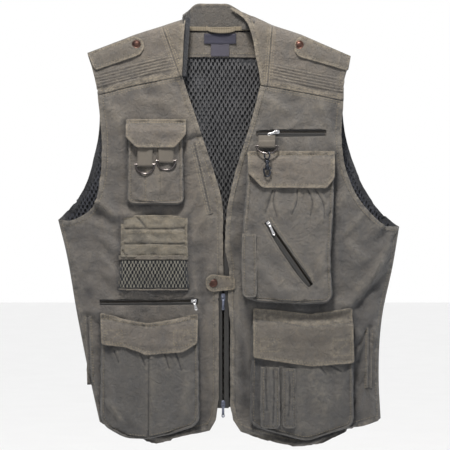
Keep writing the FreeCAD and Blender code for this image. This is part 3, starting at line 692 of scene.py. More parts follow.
def twill(name, rgb, dark=(12, 17, 25), light=(122, 114, 100), worn=1.0, seed=0.0):
    """Washed cotton twill: fine diagonal ribs, cloudy fading, paler worn ridges and edges, painted shade in seam
    grooves, creases and round pockets, and painted shade toward the sides and the hem.
    """
    n = Nodes(name, roughness=0.92, sheen=0.12)
    base = linear(rgb)
    ribs = n.wave(330.0, 52.0)
    threads = n.noise(900.0, 2.0, 0.7, stretch=(1, 1, 0.35))
    cloud = n.noise(9.0 + seed, 3.0, 0.6)
    blotch = n.noise(60.0 + seed, 5.0, 0.7, distortion=0.8)
    grain = n.noise(260.0 + seed, 4.0, 0.75)
    streak = n.noise(24.0, 4.0, 0.65, stretch=(2.6, 1.0, 0.8))
    blue = (base[0] * 0.66, base[1] * 0.74, base[2] * 0.86)
    tone = n.mix(n.spread(cloud, 0.3, 0.7), times(base, 0.84), times(base, 1.14))
    tone = n.mix(n.spread(blotch, 0.4, 0.68, 0.0, 0.6), tone, (base[0] * 1.42, base[1] * 1.34, base[2] * 1.2))
    tone = n.mix(n.spread(streak, 0.52, 0.72, 0.0, 0.55), tone, blue)
    tone = n.mix(n.spread(grain, 0.3, 0.5, 0.5, 0.0), tone, blue)
    tone = n.mix(n.spread(grain, 0.52, 0.75, 0.0, 0.4), tone, (base[0] * 1.6, base[1] * 1.5, base[2] * 1.35))
    tone = n.mix(n.spread(ribs, 0.1, 0.9, 0.0, 0.22), tone, times(base, 0.62))
    tone = n.mix(n.spread(threads, 0.45, 0.75, 0.0, 0.25), tone, times(base, 1.5))
    patchy = n.spread(n.noise(170.0, 4.0, 0.75), 0.38, 0.62, 0.0, 1.0)
    wear = n.math("MULTIPLY", n.mark("wear"), patchy)
    tone = n.mix(n.math("MULTIPLY", wear, 0.6 * worn, clamp=True), tone, linear(light))
    # painted shade: the mesh's shade marks, a little patchy, pull the colour toward the dark colour
    painted_shade = n.math("MULTIPLY", n.mark("painted_shade"), n.spread(patchy, 0.0, 1.0, 1.0, 0.55))
    tone = n.mix(n.math("MULTIPLY", painted_shade, 0.8, clamp=True), tone, linear(dark))
    # painted shade: toward the side seams and the hem the colour is multiplied by a cool grey, where the light
    # falls off
    across, _, up = n.split(n.place)
    off_middle = n.spread(n.math("ABSOLUTE", n.math("SUBTRACT", across, 0.012)), *SHADED_SIDES, 0.0, 0.75)
    low_down = n.spread(up, *SHADED_BOTTOM, 0.0, 0.42)
    tone = n.mix(n.math("MAXIMUM", off_middle, low_down), tone, (0.62, 0.66, 0.74), "MULTIPLY")
    n.colour(tone)
    n.roughness(n.spread(blotch, 0.2, 0.8, 0.84, 0.98))
    crush = n.noise(75.0, 5.0, 0.66, distortion=1.4)
    n.relief((crush, 0.005), (grain, 0.0007), (ribs, 0.00025), (threads, 0.00018))
    return n.material


def net(name, rgb, painted_side_shade=(0.3, 0.36, 0.55)):
    """Knitted mesh: a soft grid of fine loops, with painted shade, darker and bluer, toward the sides."""
    n = Nodes(name, roughness=0.85, sheen=0.1)
    base = linear(rgb)
    loops = n.wave(520.0, 0.0, 0.3)
    courses = n.wave(520.0, 90.0, 0.3)
    both = n.math("MULTIPLY", loops, courses)
    mottle = n.noise(40.0, 3.0, 0.6)
    tone = n.mix(n.spread(both, 0.05, 0.6), times(base, 0.45), times(base, 1.25))
    tone = n.mix(n.spread(mottle, 0.35, 0.7, 0.0, 0.45), tone, times(base, 1.35))
    # painted shade toward the armholes
    across = n.split(n.place)[0]
    off_middle = n.spread(n.math("ABSOLUTE", across), 0.13, 0.2)
    n.colour(n.mix(off_middle, tone, painted_side_shade, "MULTIPLY"))
    n.relief((both, 0.0004), (mottle, 0.0008))
    return n.material


def webbing(name, rgb, ribs=420.0, turn=90.0):
    """Woven tape with ribs and a few pale fibres. The ribs run across its width, turned by some degrees."""
    n = Nodes(name, roughness=0.8, sheen=0.1)
    base = linear(rgb)
    across = n.wave(ribs, turn, 0.4)
    lengthways = n.wave(560.0, 0.0, 0.4)
    fibres = n.noise(700.0, 3.0, 0.7)
    fade = n.noise(60.0, 3.0, 0.6)
    tone = n.mix(n.spread(across, 0.1, 0.9), times(base, 0.6), times(base, 1.15))
    tone = n.mix(n.spread(lengthways, 0.2, 1.0, 0.0, 0.3), tone, times(base, 0.7))
    tone = n.mix(n.spread(fibres, 0.55, 0.8, 0.0, 0.5), tone, times(base, 1.9))
    tone = n.mix(n.spread(fade, 0.4, 0.7, 0.0, 0.35), tone, times(base, 1.4))
    n.colour(tone)
    n.relief((across, 0.0003), (lengthways, 0.0002))
    return n.material


def thread(name, rgb):
    """Sewing thread: twisted and unevenly faded."""
    n = Nodes(name, roughness=0.75, sheen=0.15)
    base = linear(rgb)
    twist = n.wave(900.0, 35.0, 0.2)
    age = n.noise(45.0, 3.0, 0.6)
    tone = n.mix(n.spread(twist, 0.2, 0.9), times(base, 0.7), times(base, 1.2))
    n.colour(n.mix(n.spread(age, 0.35, 0.7, 0.0, 0.6), tone, times(base, 0.6)))
    n.relief((twist, 0.0001))
    return n.material


def metal(name, rgb, roughness, tarnish, tarnished=0.4, scale=120.0):
    """Plated metal, rubbed bright in places and dulled in others, with fine scratches."""
    n = Nodes(name, roughness=roughness, metallic=1.0)
    base = linear(rgb)
    age = n.noise(scale, 4.0, 0.65)
    scratch = n.noise(900.0, 2.0, 0.6, stretch=(1, 1, 0.12))
    tone = n.mix(n.spread(age, 0.42, 0.66, 0.0, tarnished), base, linear(tarnish))
    n.colour(n.mix(n.spread(scratch, 0.55, 0.8, 0.0, 0.4), tone, times(base, 1.3)))
    n.roughness(n.spread(age, 0.3, 0.75, roughness * 0.75, min(1.0, roughness * 1.6)))
    n.relief((scratch, 0.00004), (age, 0.00008))
    return n.material


TWILL = twill("twill_right", (71, 67, 63))
TWILL_LEFT = twill("twill_left", (69, 66, 63), seed=1.5)
TWILL_POCKET = twill("twill_pocket", (62, 60, 58), seed=5.0)
TWILL_FLAP = twill("twill_flap", (74, 69, 64), seed=2.0, worn=1.2)
TWILL_TRIM = twill("twill_trim", (72, 67, 61), seed=4.0, worn=1.3)
TWILL_CARD = twill("twill_card", (84, 79, 70), seed=1.0, worn=1.2)
# painted shade: a darker copy of the trim twill for the shaded collar
TWILL_COLLAR_SHADE = twill("twill_collar_shade", (56, 53, 50), seed=3.0)
TWILL_INSIDE = twill("twill_inside", (68, 64, 60), seed=6.0, worn=0.6)
# painted shade: near-black twill for the back's inner faces and for sheets behind nets and the neckband, where
# there is only shade
PAINTED_SHADE_CLOTH = twill("twill_painted_shade", (15, 18, 25), dark=(8, 10, 16), light=(40, 44, 52), worn=0.3)
NET = net("lining_net", (60, 61, 64))
POCKET_NET = net("pocket_net", (92, 90, 82), (1.0, 1.0, 1.0))
WEBBING = webbing("strap_webbing", (80, 74, 66))
NECK_TAPE = webbing("neck_ribbon", (88, 80, 66), ribs=110.0, turn=0.0)
ZIP_TAPE = webbing("zip_tape", (15, 14, 14))
LABEL = webbing("main_label", (15, 15, 40))
CARE_LABEL = webbing("care_label", (48, 46, 60))
THREAD = thread("topstitch", (122, 111, 90))
THREAD_DARK = thread("stitch_dark", (74, 70, 64))
BRASS = metal("zip_teeth_metal", (82, 76, 70), 0.42, (40, 37, 34), 0.8)
SILVER = metal("slider_metal", (176, 176, 178), 0.3, (92, 90, 90), 0.5)
SLIDER = metal("front_slider_metal", (104, 108, 122), 0.32, (44, 46, 54), 0.7)
NICKEL = metal("ring_metal", (88, 84, 84), 0.24, (44, 38, 36), 0.8)
GUNMETAL = metal("hook_metal", (58, 60, 66), 0.26, (22, 24, 28), 0.6)
COPPER = metal("snap_metal", (74, 54, 48), 0.42, (32, 28, 30), 0.85)


# ------------------------------------------------------------------ shell ----

def hem_relief(d, width=8.0):
    """A folded and stitched edge: a thick band with a groove where it is sewn down."""
    return 0.7 * step_down(d, width + 1.0, 2.0) - 0.9 * bump(d, width, 1.1)


def hem_marks(d, width=8.0):
    """Worn folds along a hem, at distance d from the edge, and painted shade in the groove where it is sewn."""
    wear = 0.35 * bump(d, 0.0, 1.7) + 0.5 * step_down(d, width + 0.5, 2.0) + 0.3 * bump(d, width + 2.2, 1.3)
    return marks_of(np.clip(wear, 0, 1), 0.65 * bump(d, width, 1.0))


def joined(*marks):
    """Several pieces' wear and painted shade together: the strongest counts."""
    return {key: np.maximum.reduce([m[key] for m in marks]) for key in ("wear", "painted_shade")}


def seam_marks(d):
    """Painted shade in the groove at a seam, and a worn ridge beside it."""
    return marks_of(0.55 * bump(d, 2.4, 1.4), 0.5 * bump(d, 0.0, 1.0))


def crease_marks(relief):
    """Painted shade in the hollows of the cloth; paler worn ridges."""
    level = relief - relief.mean()
    return marks_of(0.4 * np.clip(level / 3.0 - 0.2, 0, 1), 0.75 * np.clip(-level / 3.0 - 0.12, 0, 1))


def pucker(points, d, reach=9.0, height=0.5, seed=1.0):
    """Small ripples that a tight seam gathers into the cloth beside it."""
    return height * bump(d, 0.0, reach) * rumple(points, 7.0, seed)


def wall_sheet(name, outline, y_of, shape, material, edges, seams=(), stands_for=(), toward=-1, spacing=5.0,
               hem=8.0, growth=0.03, loose=(5.0, 2.5), seed=1.0, pinned=(), extra_lines=(), quiet=(), holes=(),
               around=(), channels=(), bands=()):
    """One panel of the shell: cut, hung, hemmed along its edges and given its seams' relief.

    edges are the lines that have a folded hem, seams the lines where it is sewn to others. The cloth stays
    where it is along pinned and quiet lines, and lies flat within the outlines in around, which pockets cover;
    along those outlines it gets painted shade.
    channels are rows of quilting, and bands the seams with a worn band beside them. loose is how far the
    simulation may move the cloth outwards and inwards.
    """
    rings = (1.2, hem - 2.0, hem, hem + 1.8)
    rows = [offset(seam, d) for seam in seams for d in (-2.0, 0.0, 2.0)]
    flat, faces = cut(outline, spacing, rings, rows + list(extra_lines), holes, toward)
    points = in_space(flat, y_of(flat))
    still = points.copy()
    edge = gap_to_any(flat, edges)
    firmest, rim_reach, seam_reach, free_reach, free_share = 1.15, 7.0, 6.0, 14.0, 0.25
    pins = np.clip(firmest - gap(flat, outline, closed=True) / rim_reach, 0, 1)
    for line in edges:
        pins = np.where(gap(flat, line) < free_reach, pins * free_share, pins)
    for line in [*pinned, *seams]:
        pins = np.maximum(pins, np.clip(firmest - gap(flat, line) / seam_reach, 0, 1))
    points[:, 1] += toward * 0.6 * rumple(flat, 38.0, seed)
    points = capped(settle(points, faces, pins, growth, gravity=0.6), still, *loose)
    sewn = gap_to_any(flat, seams)
    relief = (shape(flat) + hem_relief(edge, hem) + pucker(flat, edge, 12.0, 1.0, seed + 2)
              + pucker(flat, sewn, 9.0, 0.6, seed + 3) - 0.5 * bump(sewn, 0.0, 1.2))
    # painted shade round the pockets that sit on the panel
    shade = np.zeros(len(flat))
    for line in around:
        d = gap(flat, line)
        relief += pucker(flat, d, 13.0, 1.1, seed + 4)
        shade = np.maximum(shade, 0.95 * bump(d, 0.0, 4.0))
    relief = relief * (1 - bump(sewn, 0.0, 3.0)) - 0.5 * bump(sewn, 0.0, 2.0)
    points[:, 1] += toward * relief
    for line in around:
        share = inside(flat, line) * np.clip(gap(flat, line) / 8.0, 0, 1)
        points[:, 1] = points[:, 1] * (1 - share) + still[:, 1] * share
    for line in quiet:
        share = np.exp(-(gap(flat, line) / 10.0) ** 2)
        points[:, 1] = points[:, 1] * (1 - share) + (still[:, 1] + toward * 0.3) * share
    plain = 0 * shade
    # worn hems and bands; painted shade in seam and hem grooves, round pockets, in hollows and along quilting rows
    marks = joined(hem_marks(edge, hem), seam_marks(sewn), marks_of(plain, shade), crease_marks(relief),
                   *[seam_marks(gap(flat, line)) for line in channels],
                   *[marks_of(0.8 * step_down(gap(flat, line), 8.0, 2.0), plain) for line in bands])
    area = area_of(still, faces)
    piece = add_cloth(name, points, faces, CLOTH, material, stands_for=stands_for, marks=marks)
    declare(extent(outline), area)
    tree = tree_of(points, faces)
    for line in edges:
        sew("vest", beside(line, hem, outline), tree, toward)
    for line in seams:
        sew("vest", beside(line, 2.2, outline), tree, toward)
        sew("vest", beside(line, 6.0, outline), tree, toward)
    for line in channels:
        sew("vest", line, tree, toward, "dark")
    return piece, tree


ROWS = []


def sew(body, line, tree, toward=-1, colour="light", blend_at=None):
    """Remember a row of topstitching; make_stitches() sews them all at the end."""
    if len(line) > 1:
        ROWS.append((body, blend_at, line, tree, toward, colour))


def beside(line, distance, outline):
    """The part of a line's parallel that lies inside an outline."""
    best = np.zeros((0, 2))
    for side in (-1, 1):
        moved = offset(line, side * distance)
        moved = moved[inside(moved, outline)]
        if len(moved):
            moved = moved[gap(moved, line) > distance * 0.93]
            moved = moved[gap(moved, outline, closed=True) > min(distance, 2.0) * 0.8]
        if len(moved) > len(best):
            best = moved
    return best


def calm(points):
    """The fronts' general unevenness, without their folds."""
    return (1.6 * rumple(points, 62.0, 3.1) + 1.3 * creases(points, 52.0, 9.2, (1.0, 0.5))
            + 1.1 * creases(points, 30.0, 4.7, (0.6, 1.0)) + 0.6 * rumple(points, 13.0, 5.7))


def back_shape(points):
    """The back's unevenness: it hangs smoother than the fronts."""
    return 0.8 * rumple(points, 80.0, 8.1) + 0.4 * creases(points, 60.0, 2.2, (0.6, 1.2))


def back_outline(scale=1.0):
    """The outline of the back, or of a layer inside it that is a little smaller."""
    outline = ring(smooth(RIGHT_SIDE), smooth(RIGHT_ARMHOLE_BACK), straight(RIGHT_SHOULDER),
                   straight([RIGHT_SHOULDER[-1], (-64, NECK_SEAM_H), (44, NECK_SEAM_H), LEFT_SHOULDER[-1]]),
                   straight(LEFT_SHOULDER[::-1]), smooth(LEFT_ARMHOLE_BACK[::-1]), smooth(LEFT_SIDE[::-1]),
                   smooth(BACK_HEM[::-1]))
    middle = np.array([6.0, 360.0])
    return middle + (outline - middle) * scale


def make_back():
    """The back panel: twill outside, and painted shade on its inner faces, which the lining's holes show."""
    yoke_seam = smooth([(-205, 560), (0, 556), (192, 552)])
    armholes = [smooth(RIGHT_ARMHOLE_BACK), smooth(LEFT_ARMHOLE_BACK)]
    sewn = [yoke_seam, smooth(RIGHT_SIDE), smooth(LEFT_SIDE), straight(RIGHT_SHOULDER),
            straight(LEFT_SHOULDER)]
    piece, _ = wall_sheet("back_panel", back_outline(), back_y, back_shape, TWILL,
                          armholes + [smooth(BACK_HEM)], sewn, stands_for=("back_panel", "side_panels"),
                          toward=1, spacing=7.0, loose=(1.0, 3.0), seed=11.0)
    # painted shade: the inner faces get the near-black twill
    piece.data.materials.append(PAINTED_SHADE_CLOTH)
    outside_count = len(piece.data.vertices) // 2
    for polygon in piece.data.polygons:
        if min(polygon.vertices) >= outside_count:
            polygon.material_index = 1


def honeycomb(outline, across, up, hole_wide, hole_tall, raised):
    """A lattice of strands round tall, staggered openings: points (x, h, strand height) and faces."""
    corner = (up * up - across * across / 4) / (2 * up)
    tip = (up * up + across * across / 4) / (2 * up)
    hexagon = [(across / 2, corner), (0, tip), (-across / 2, corner), (-across / 2, -corner), (0, -tip),
               (across / 2, -corner)]
    rim = []
    for a, b in zip(hexagon, hexagon[1:] + hexagon[:1]):
        rim += [a, ((a[0] + b[0]) / 2, (a[1] + b[1]) / 2)]
    points, faces, index = [], [], {}

    def vertex(x, h, height):
        key = (round(x * 5), round(h * 5))
        if key not in index:
            index[key] = len(points)
            points.append((x, h, height))
        return index[key]

    low, high = outline.min(0), outline.max(0)
    rows, columns = int((high[1] - low[1]) / up) + 1, int((high[0] - low[0]) / across) + 1
    cells = [(i, j, low[0] + (i + 0.5 * (j % 2)) * across, low[1] + j * up)
             for j in range(rows) for i in range(columns)]
    middles = np.array([cell[2:] for cell in cells])
    kept = inside(middles, outline) & (gap(middles, outline, closed=True) > across * 0.55)
    for (i, j, x, h), within in zip(cells, kept):
        if not within:
            continue
        outer = [vertex(x + u, h + v, raised) for u, v in rim]
        wide = 0.9 + 0.2 * math.sin(i * 3.7 + j * 1.3)
        hole = []
        for u, v in rim:
            angle = math.atan2(v / tip, u / (across / 2))
            reach = math.cos(angle) * abs(math.cos(angle)) ** 0.35
            hole.append(vertex(x + hole_wide * wide * reach, h + hole_tall * math.sin(angle), 0.0))
        for k in range(len(rim)):
            m = (k + 1) % len(rim)
            faces.append((outer[k], outer[m], hole[m], hole[k]))
    return np.array(points), faces


def make_lining():
    """The net inside the back, seen through the neck and the armholes."""
    outline = back_outline(0.985)
    outline = outline[outline[:, 1] < FACING_H + 9.0]
    flat, faces = honeycomb(outline, 7.0, 6.1, 2.0, 3.9, 0.9)
    place = flat[:, :2]
    free = step_down(place[:, 1], FACING_H - 12.0, 16.0)
    swell = 1.6 * rumple(place, 55.0, 4.4) + 1.0 * creases(place, 40.0, 1.4, (1, 0.5))
    swell = swell * free - 1.4 * (1 - free)
    points = np.stack([place[:, 0] + 0.9 * rumple(place, 18.0, 6.6) + 1.3 * rumple(place, 45.0, 7.6),
                       back_y(place) - CLOTH - 2.6 - swell - flat[:, 2], place[:, 1]], axis=1)
    piece = add("mesh_lining", points, faces, NET, stands_for=("mesh_lining",))
    declare(extent(outline), area_of(points, faces))


def make_back_facing():
    """The plain cloth inside the back of the neck, with a crease under the collar."""
    scaled = back_outline(0.985)
    outline = scaled[scaled[:, 1] > FACING_H]
    outline = ring(straight([tuple(p) for p in outline] + [tuple(outline[0])], 5.0))
    low_edge = straight([(-240, FACING_H), (240, FACING_H)])

    def shape(points):
        return 0.7 * rumple(points, 40.0, 2.6) + 0.5 * creases(points, 30.0, 3.3, (0.5, 1.4))

    wall_sheet("back_facing", outline, lambda p: back_y(p) - CLOTH - 3.4, shape, TWILL_INSIDE, [low_edge],
               stands_for=("back_facing",), spacing=6.0, hem=7.0, loose=(0.8, 0.5), seed=13.0)


def right_front_outline():
    """The wearer's right front, from its side seam round to its hem."""
    return ring(smooth(RIGHT_SIDE), smooth(RIGHT_ARMHOLE), smooth(RIGHT_YOKE_SEAM[::-1]), smooth(RIGHT_NECK),
                straight(RIGHT_EDGE), smooth(RIGHT_HEM))


def left_front_outline():
    """The wearer's left front, from its side seam round to its hem."""
    return ring(smooth(LEFT_SIDE), smooth(LEFT_ARMHOLE), smooth(LEFT_YOKE_SEAM[::-1]), smooth(LEFT_NECK),
                straight(LEFT_EDGE), smooth(LEFT_HEM))


def fold(points, a, b, height, width):
    """A soft ridge (or a valley, for a height below 0) from a to b that fades at both ends."""
    a, b = np.array(a, float), np.array(b, float)
    run = b - a
    t = ((points - a) @ run) / (run @ run)
    side = np.linalg.norm(points - (a + np.clip(t, 0, 1)[:, None] * run), axis=1)
    fade = np.clip(np.minimum(t, 1 - t) * 4 + 0.35, 0, 1)
    return height * fade * np.exp(-(side / width) ** 2)


RIGHT_FOLDS = [((-262, 340), (-226, 250), 2.6, 7), ((-250, 300), (-214, 236), -1.8, 6),
               ((-216, 400), (-176, 372), 2.0, 6), ((-228, 366), (-176, 344), 1.8, 5),
               ((-236, 230), (-210, 150), 2.2, 6), ((-44, 470), (-26, 330), 1.6, 7),
               ((-56, 560), (-60, 440), 1.4, 8), ((-190, 560), (-166, 500), 1.6, 8),
               ((-40, 300), (-34, 200), -1.6, 7), ((-150, 560), (-80, 548), 1.2, 8),
               ((-30, 226), (-22, 90), 1.8, 6), ((-206, 470), (-170, 452), 1.4, 6)]
LEFT_FOLDS = [((270, 336), (232, 262), 2.6, 7), ((258, 300), (206, 250), 2.2, 7),
              ((244, 262), (206, 224), -1.8, 6), ((224, 380), (188, 338), 2.2, 6),
              ((200, 440), (180, 380), 1.8, 6), ((150, 556), (180, 470), 1.5, 8),
              ((60, 560), (110, 530), 1.4, 7), ((244, 200), (222, 110), 2.2, 6),
              ((24, 300), (20, 200), 1.6, 6), ((24, 190), (30, 60), -1.8, 6),
              ((150, 240), (206, 228), 1.6, 6), ((192, 330), (226, 300), 1.6, 6)]


FOLD_DEPTH = 2.5             # what the folds' heights above are multiplied by
POCKET_FOLD_DEPTH = 1.75     # and those on the pockets


def folded(points, folds, depth):
    """Several folds together."""
    return sum(fold(points, a, b, height * depth, width) for a, b, height, width in folds)


def front_shape(folds):
    """The fronts' relief: their unevenness and the given folds."""
    return lambda points: calm(points) + folded(points, folds, FOLD_DEPTH)


WAIST_ZIP = ((-202, 230), (-42, 232))
BREAST_ZIP = ((52, 503), (160, 503))
HIDDEN_SLIT = [(-49, 484), (-23, 371)]
SLANT_SLIT = [(66, 362), (138, 258)]
RIGHT_HAND_SLIT = [(-220, 208), (-216, 98)]
LEFT_HAND_SLIT = [(232, 190), (230, 91)]


def slit(start, end, half=4.2, shorten=1.0):
    """The outline of the opening that a zip shows through."""
    a, b = np.array(start, float), np.array(end, float)
    ahead = (b - a) / np.linalg.norm(b - a)
    side = half * np.array([-ahead[1], ahead[0]])
    a, b = a + ahead * shorten, b - ahead * shorten
    corners = [tuple(p) for p in (a - side, b - side, b + side, a + side, a - side)]
    return ring(straight(corners, 3.0))


RIGHT_POCKET_EDGES = [
    cornered([(-158, 520), (-157, 450), (-156, 390), (-110, 386), (-66, 390), (-66, 450), (-62, 520)]),
    cornered([(-200, 210), (-199, 120), (-199, 45), (-158, 14), (-124, 12), (-50, 32), (-41, 44), (-42, 210)]),
    cornered([(-168, 370), (-170, 300), (-171, 249), (-59, 249), (-58, 300), (-58, 370)])]
LEFT_POCKET_EDGES = [
    cornered([(35, 468), (28, 355), (26, 290), (29, 238), (53, 232), (122, 228), (166, 230), (171, 250),
              (175, 392), (176, 468)]),
    cornered([(43, 216), (41, 120), (40, 40), (80, 22), (128, 11), (198, 31), (206, 44), (206, 216)])]


def make_fronts():
    """The two front panels, each with the slit that its zip shows through."""
    right_side, left_side = smooth(RIGHT_SIDE), smooth(LEFT_SIDE)
    dart = smooth([(-232, 366), (-205, 300), (-200, 236)])
    waist, breast = straight(WAIST_ZIP), straight(BREAST_ZIP)
    _, right_tree = wall_sheet(
        "right_front_panel", right_front_outline(), front_y, front_shape(RIGHT_FOLDS), TWILL,
        [smooth(RIGHT_ARMHOLE), smooth(RIGHT_NECK), straight(RIGHT_EDGE), smooth(RIGHT_HEM)],
        [smooth(RIGHT_YOKE_SEAM), right_side, straight(RIGHT_HAND_SLIT), straight(HIDDEN_SLIT)],
        stands_for=("right_front_panel",), seed=21.0, pinned=[dart, waist], quiet=[waist],
        holes=[slit(*WAIST_ZIP)], around=RIGHT_POCKET_EDGES)
    _, left_tree = wall_sheet(
        "left_front_panel", left_front_outline(), front_y, front_shape(LEFT_FOLDS), TWILL_LEFT,
        [smooth(LEFT_ARMHOLE), smooth(LEFT_NECK), straight(LEFT_EDGE), smooth(LEFT_HEM)],
        [smooth(LEFT_YOKE_SEAM), left_side, straight(LEFT_HAND_SLIT)],
        stands_for=("left_front_panel",), seed=31.0, pinned=[breast], quiet=[breast],
        holes=[slit(*BREAST_ZIP, shorten=-2.5)], around=LEFT_POCKET_EDGES)
    return right_tree, left_tree


make_back()
make_lining()
make_back_facing()
RIGHT_TREE, LEFT_TREE = make_fronts()


# ------------------------------------------------ yokes, neck and collar ----

QUILT_BAND = 13.0
QUILT_LINES = 5
QUILT_PITCH = 4.8


def quilting(seam, lines, pitch):
    """Sewn channels that run beside a seam, first a wide band and then the narrow ones."""
    def shape(points):
        d = gap(points, seam) - QUILT_BAND
        within = step_down(np.abs(d - lines * pitch / 2), lines * pitch / 2, 1.5)
        channel = np.abs(np.sin(math.pi * np.clip(d, 0, lines * pitch) / pitch)) ** 0.6
        ripple = 0.5 + 0.5 * rumple(points, 9.0, 6.1, (1.0, 0.6))
        loose = 0.9 * rumple(points, 26.0, 4.2) + 0.7 * creases(points, 22.0, 3.6, (0.5, 1.0))
        return 1.5 * within * channel * (0.7 + 0.5 * ripple) + (1 - within) * loose
    return shape


def make_yokes():
    """The two quilted shoulder yokes."""
    trees = []
    for side, seam, armhole, shoulder, seed in (
            ("right", smooth(RIGHT_YOKE_SEAM), RIGHT_YOKE_ARMHOLE, RIGHT_SHOULDER[:3], 41.0),
            ("left", smooth(LEFT_YOKE_SEAM), LEFT_YOKE_ARMHOLE, LEFT_SHOULDER[:3], 43.0)):
        outline = ring(seam, smooth(armhole), straight(shoulder), straight([shoulder[-1], tuple(seam[0])]))
        sign = 1 if side == "right" else -1
        quilted = np.arange(QUILT_BAND, QUILT_BAND + QUILT_LINES * QUILT_PITCH + 2, 1.6)
        rows = [offset(seam, -sign * d) for d in quilted]
        quilt_rows = [offset(seam, -sign * (QUILT_BAND + k * QUILT_PITCH)) for k in range(QUILT_LINES + 1)]
        quilt_rows = [line[inside(line, outline)] for line in quilt_rows]
        _, tree = wall_sheet(
            side + "_shoulder_yoke", outline, lambda p: front_y(p) - 0.9,
            quilting(seam, QUILT_LINES, QUILT_PITCH), TWILL_FLAP, [smooth(armhole)],
            [seam, straight([shoulder[-1], tuple(seam[0])])],
            stands_for=(side + "_shoulder_yoke",), spacing=4.5, growth=0.006, loose=(1.2, 0.4), seed=seed,
            extra_lines=rows, channels=quilt_rows, bands=[seam])
        trees.append(tree)
    return trees


def make_neckbands():
    """The folded strips along the neckline, and a near-black sheet of painted shade behind one of them."""
    outlines = (ring(straight([(-69, 592), (-64, 686)]), straight([(-64, 686), (-101, 674.5)]),
                     straight([(-101, 674.5), (-72, 591.3), (-69, 592)])),
                ring(smooth([(57, 578), (54, 602), (48, 627), (42, 662), (34, 683), (9, 705)], 3.0),
                     straight([(9, 705), (12, 706.5), (76, 676)]),
                     straight([(76, 676), (68, 575.9), (57, 578)])))
    inner = (straight([(-69, 592), (-64, 686)]),
             smooth([(57, 578), (54, 602), (48, 627), (42, 662), (34, 683), (9, 705)], 3.0))
    outer = (straight([(-101, 674.5), (-72, 591.3)]), straight([(76, 676), (68, 575.9)]))
    trees = []
    for side, outline, edge, seam in zip(("right", "left"), outlines, inner, outer):
        replaced = ("neckbands",) if side == "right" else ()
        _, tree = wall_sheet(
            side + "_neckband", outline, lambda p: neck_y(p) - 1.3, lambda p: 0.5 * rumple(p, 20.0, 5.1),
            TWILL_TRIM, [edge], [seam], stands_for=replaced, spacing=4.0, hem=6.5, growth=0.004,
            loose=(0.5, 0.3), seed=47.0)
        trees.append(tree)
    # painted shade: a dark sheet where shade falls beside the right neckband's inner edge
    shadow = ring(straight([(-70, 592), (-65, 686)]), straight([(-65, 686), (-55.5, 688)]),
                  straight([(-55.5, 688), (-62, 592), (-70, 592)]))
    wall_sheet("neckband_shade_sheet", shadow, lambda p: front_y(p) + 4.0 + 0.5 * (p[:, 0] + 66),
               lambda p: 0.4 * rumple(p, 14.0, 2.1), PAINTED_SHADE_CLOTH, [], spacing=4.0, growth=0.004,
               loose=(0.5, 0.3), seed=49.0)
    return trees


COLLAR_PATH = [(-66, -26, 690), (-66, -15, 693), (-60, -4, 699), (-47, 1.5, 711.5), (-28, 3.0, 712.5),
               (-8, 3.2, 712.5), (6, 2.6, 711.5), (22, -0.5, 702), (35, -7, 692), (43, -15, 685),
               (46, -26, 680)]


def grid(rows):
    """Quads between rows of points that all have the same count."""
    points = np.vstack(rows)
    wide = len(rows[0])
    faces = []
    for j in range(len(rows) - 1):
        for i in range(wide - 1):
            a = j * wide + i
            faces.append((a, a + 1, a + wide + 1, a + wide))
    return points, faces


def spline3(points, parts):
    """A smooth line in space through the points."""
    given = np.array(points, float)
    slope = np.gradient(given, axis=0)
    line = [given[0]]
    for i in range(len(given) - 1):
        for k in range(1, parts + 1):
            line.append(hermite(given[i], given[i + 1], slope[i], slope[i + 1], k / parts))
    return np.array(line)


def make_collar():
    """The stand collar, a band along COLLAR_PATH."""
    path = spline3(COLLAR_PATH, 7)
    rows = []
    levels = np.array([0.0, 0.08, 0.2, 0.35, 0.5, 0.65, 0.78, 0.88, 0.94, 1.0])
    low = NECK_SEAM_H - 1.5
    for level in levels:
        h = low + (path[:, 2] - low) * level
        rows.append(np.stack([path[:, 0], path[:, 1] + 0.8 * math.sin(level * 2.2), h], axis=1))
    points, faces = grid(rows)
    from_top = np.concatenate([(path[:, 2] - low) * (1 - level) for level in levels])
    along = np.concatenate([np.arange(len(path)) * 3.0 for _ in levels])
    ripples = rumple(np.stack([along, from_top], axis=1), 16.0, 8.8)
    normals = face_normals(points, faces)
    relief = 0.5 * ripples - 0.7 * bump(from_top, 5.0, 1.2) + 0.4 * step_down(from_top, 5.0, 2.0)
    points = points + normals * relief[:, None]
    # painted shade toward both ends of the collar
    shaded = np.maximum(step_down(points[:, 0], -56.0, 7.0), step_down(-points[:, 0], -34.0, 8.0))
    marks = joined(hem_marks(from_top, 5.0), marks_of(0 * shaded, shaded))
    piece = add_cloth("collar", points, faces, 2.0, TWILL_COLLAR_SHADE, stands_for=("collar",), marks=marks)
    declare((170.0, 40.0), area_of(points, faces))


def skin(rings, wide, turned=False):
    """Faces of a closed tube through rings of points, wide points to a ring, with both ends filled."""
    faces = []
    for j in range(rings - 1):
        for k in range(wide):
            m = (k + 1) % wide
            faces.append((j * wide + k, j * wide + m, (j + 1) * wide + m, (j + 1) * wide + k))
    faces.append(tuple(reversed(range(wide))))
    faces.append(tuple(range((rings - 1) * wide, rings * wide)))
    return [tuple(reversed(f)) for f in faces] if turned else faces


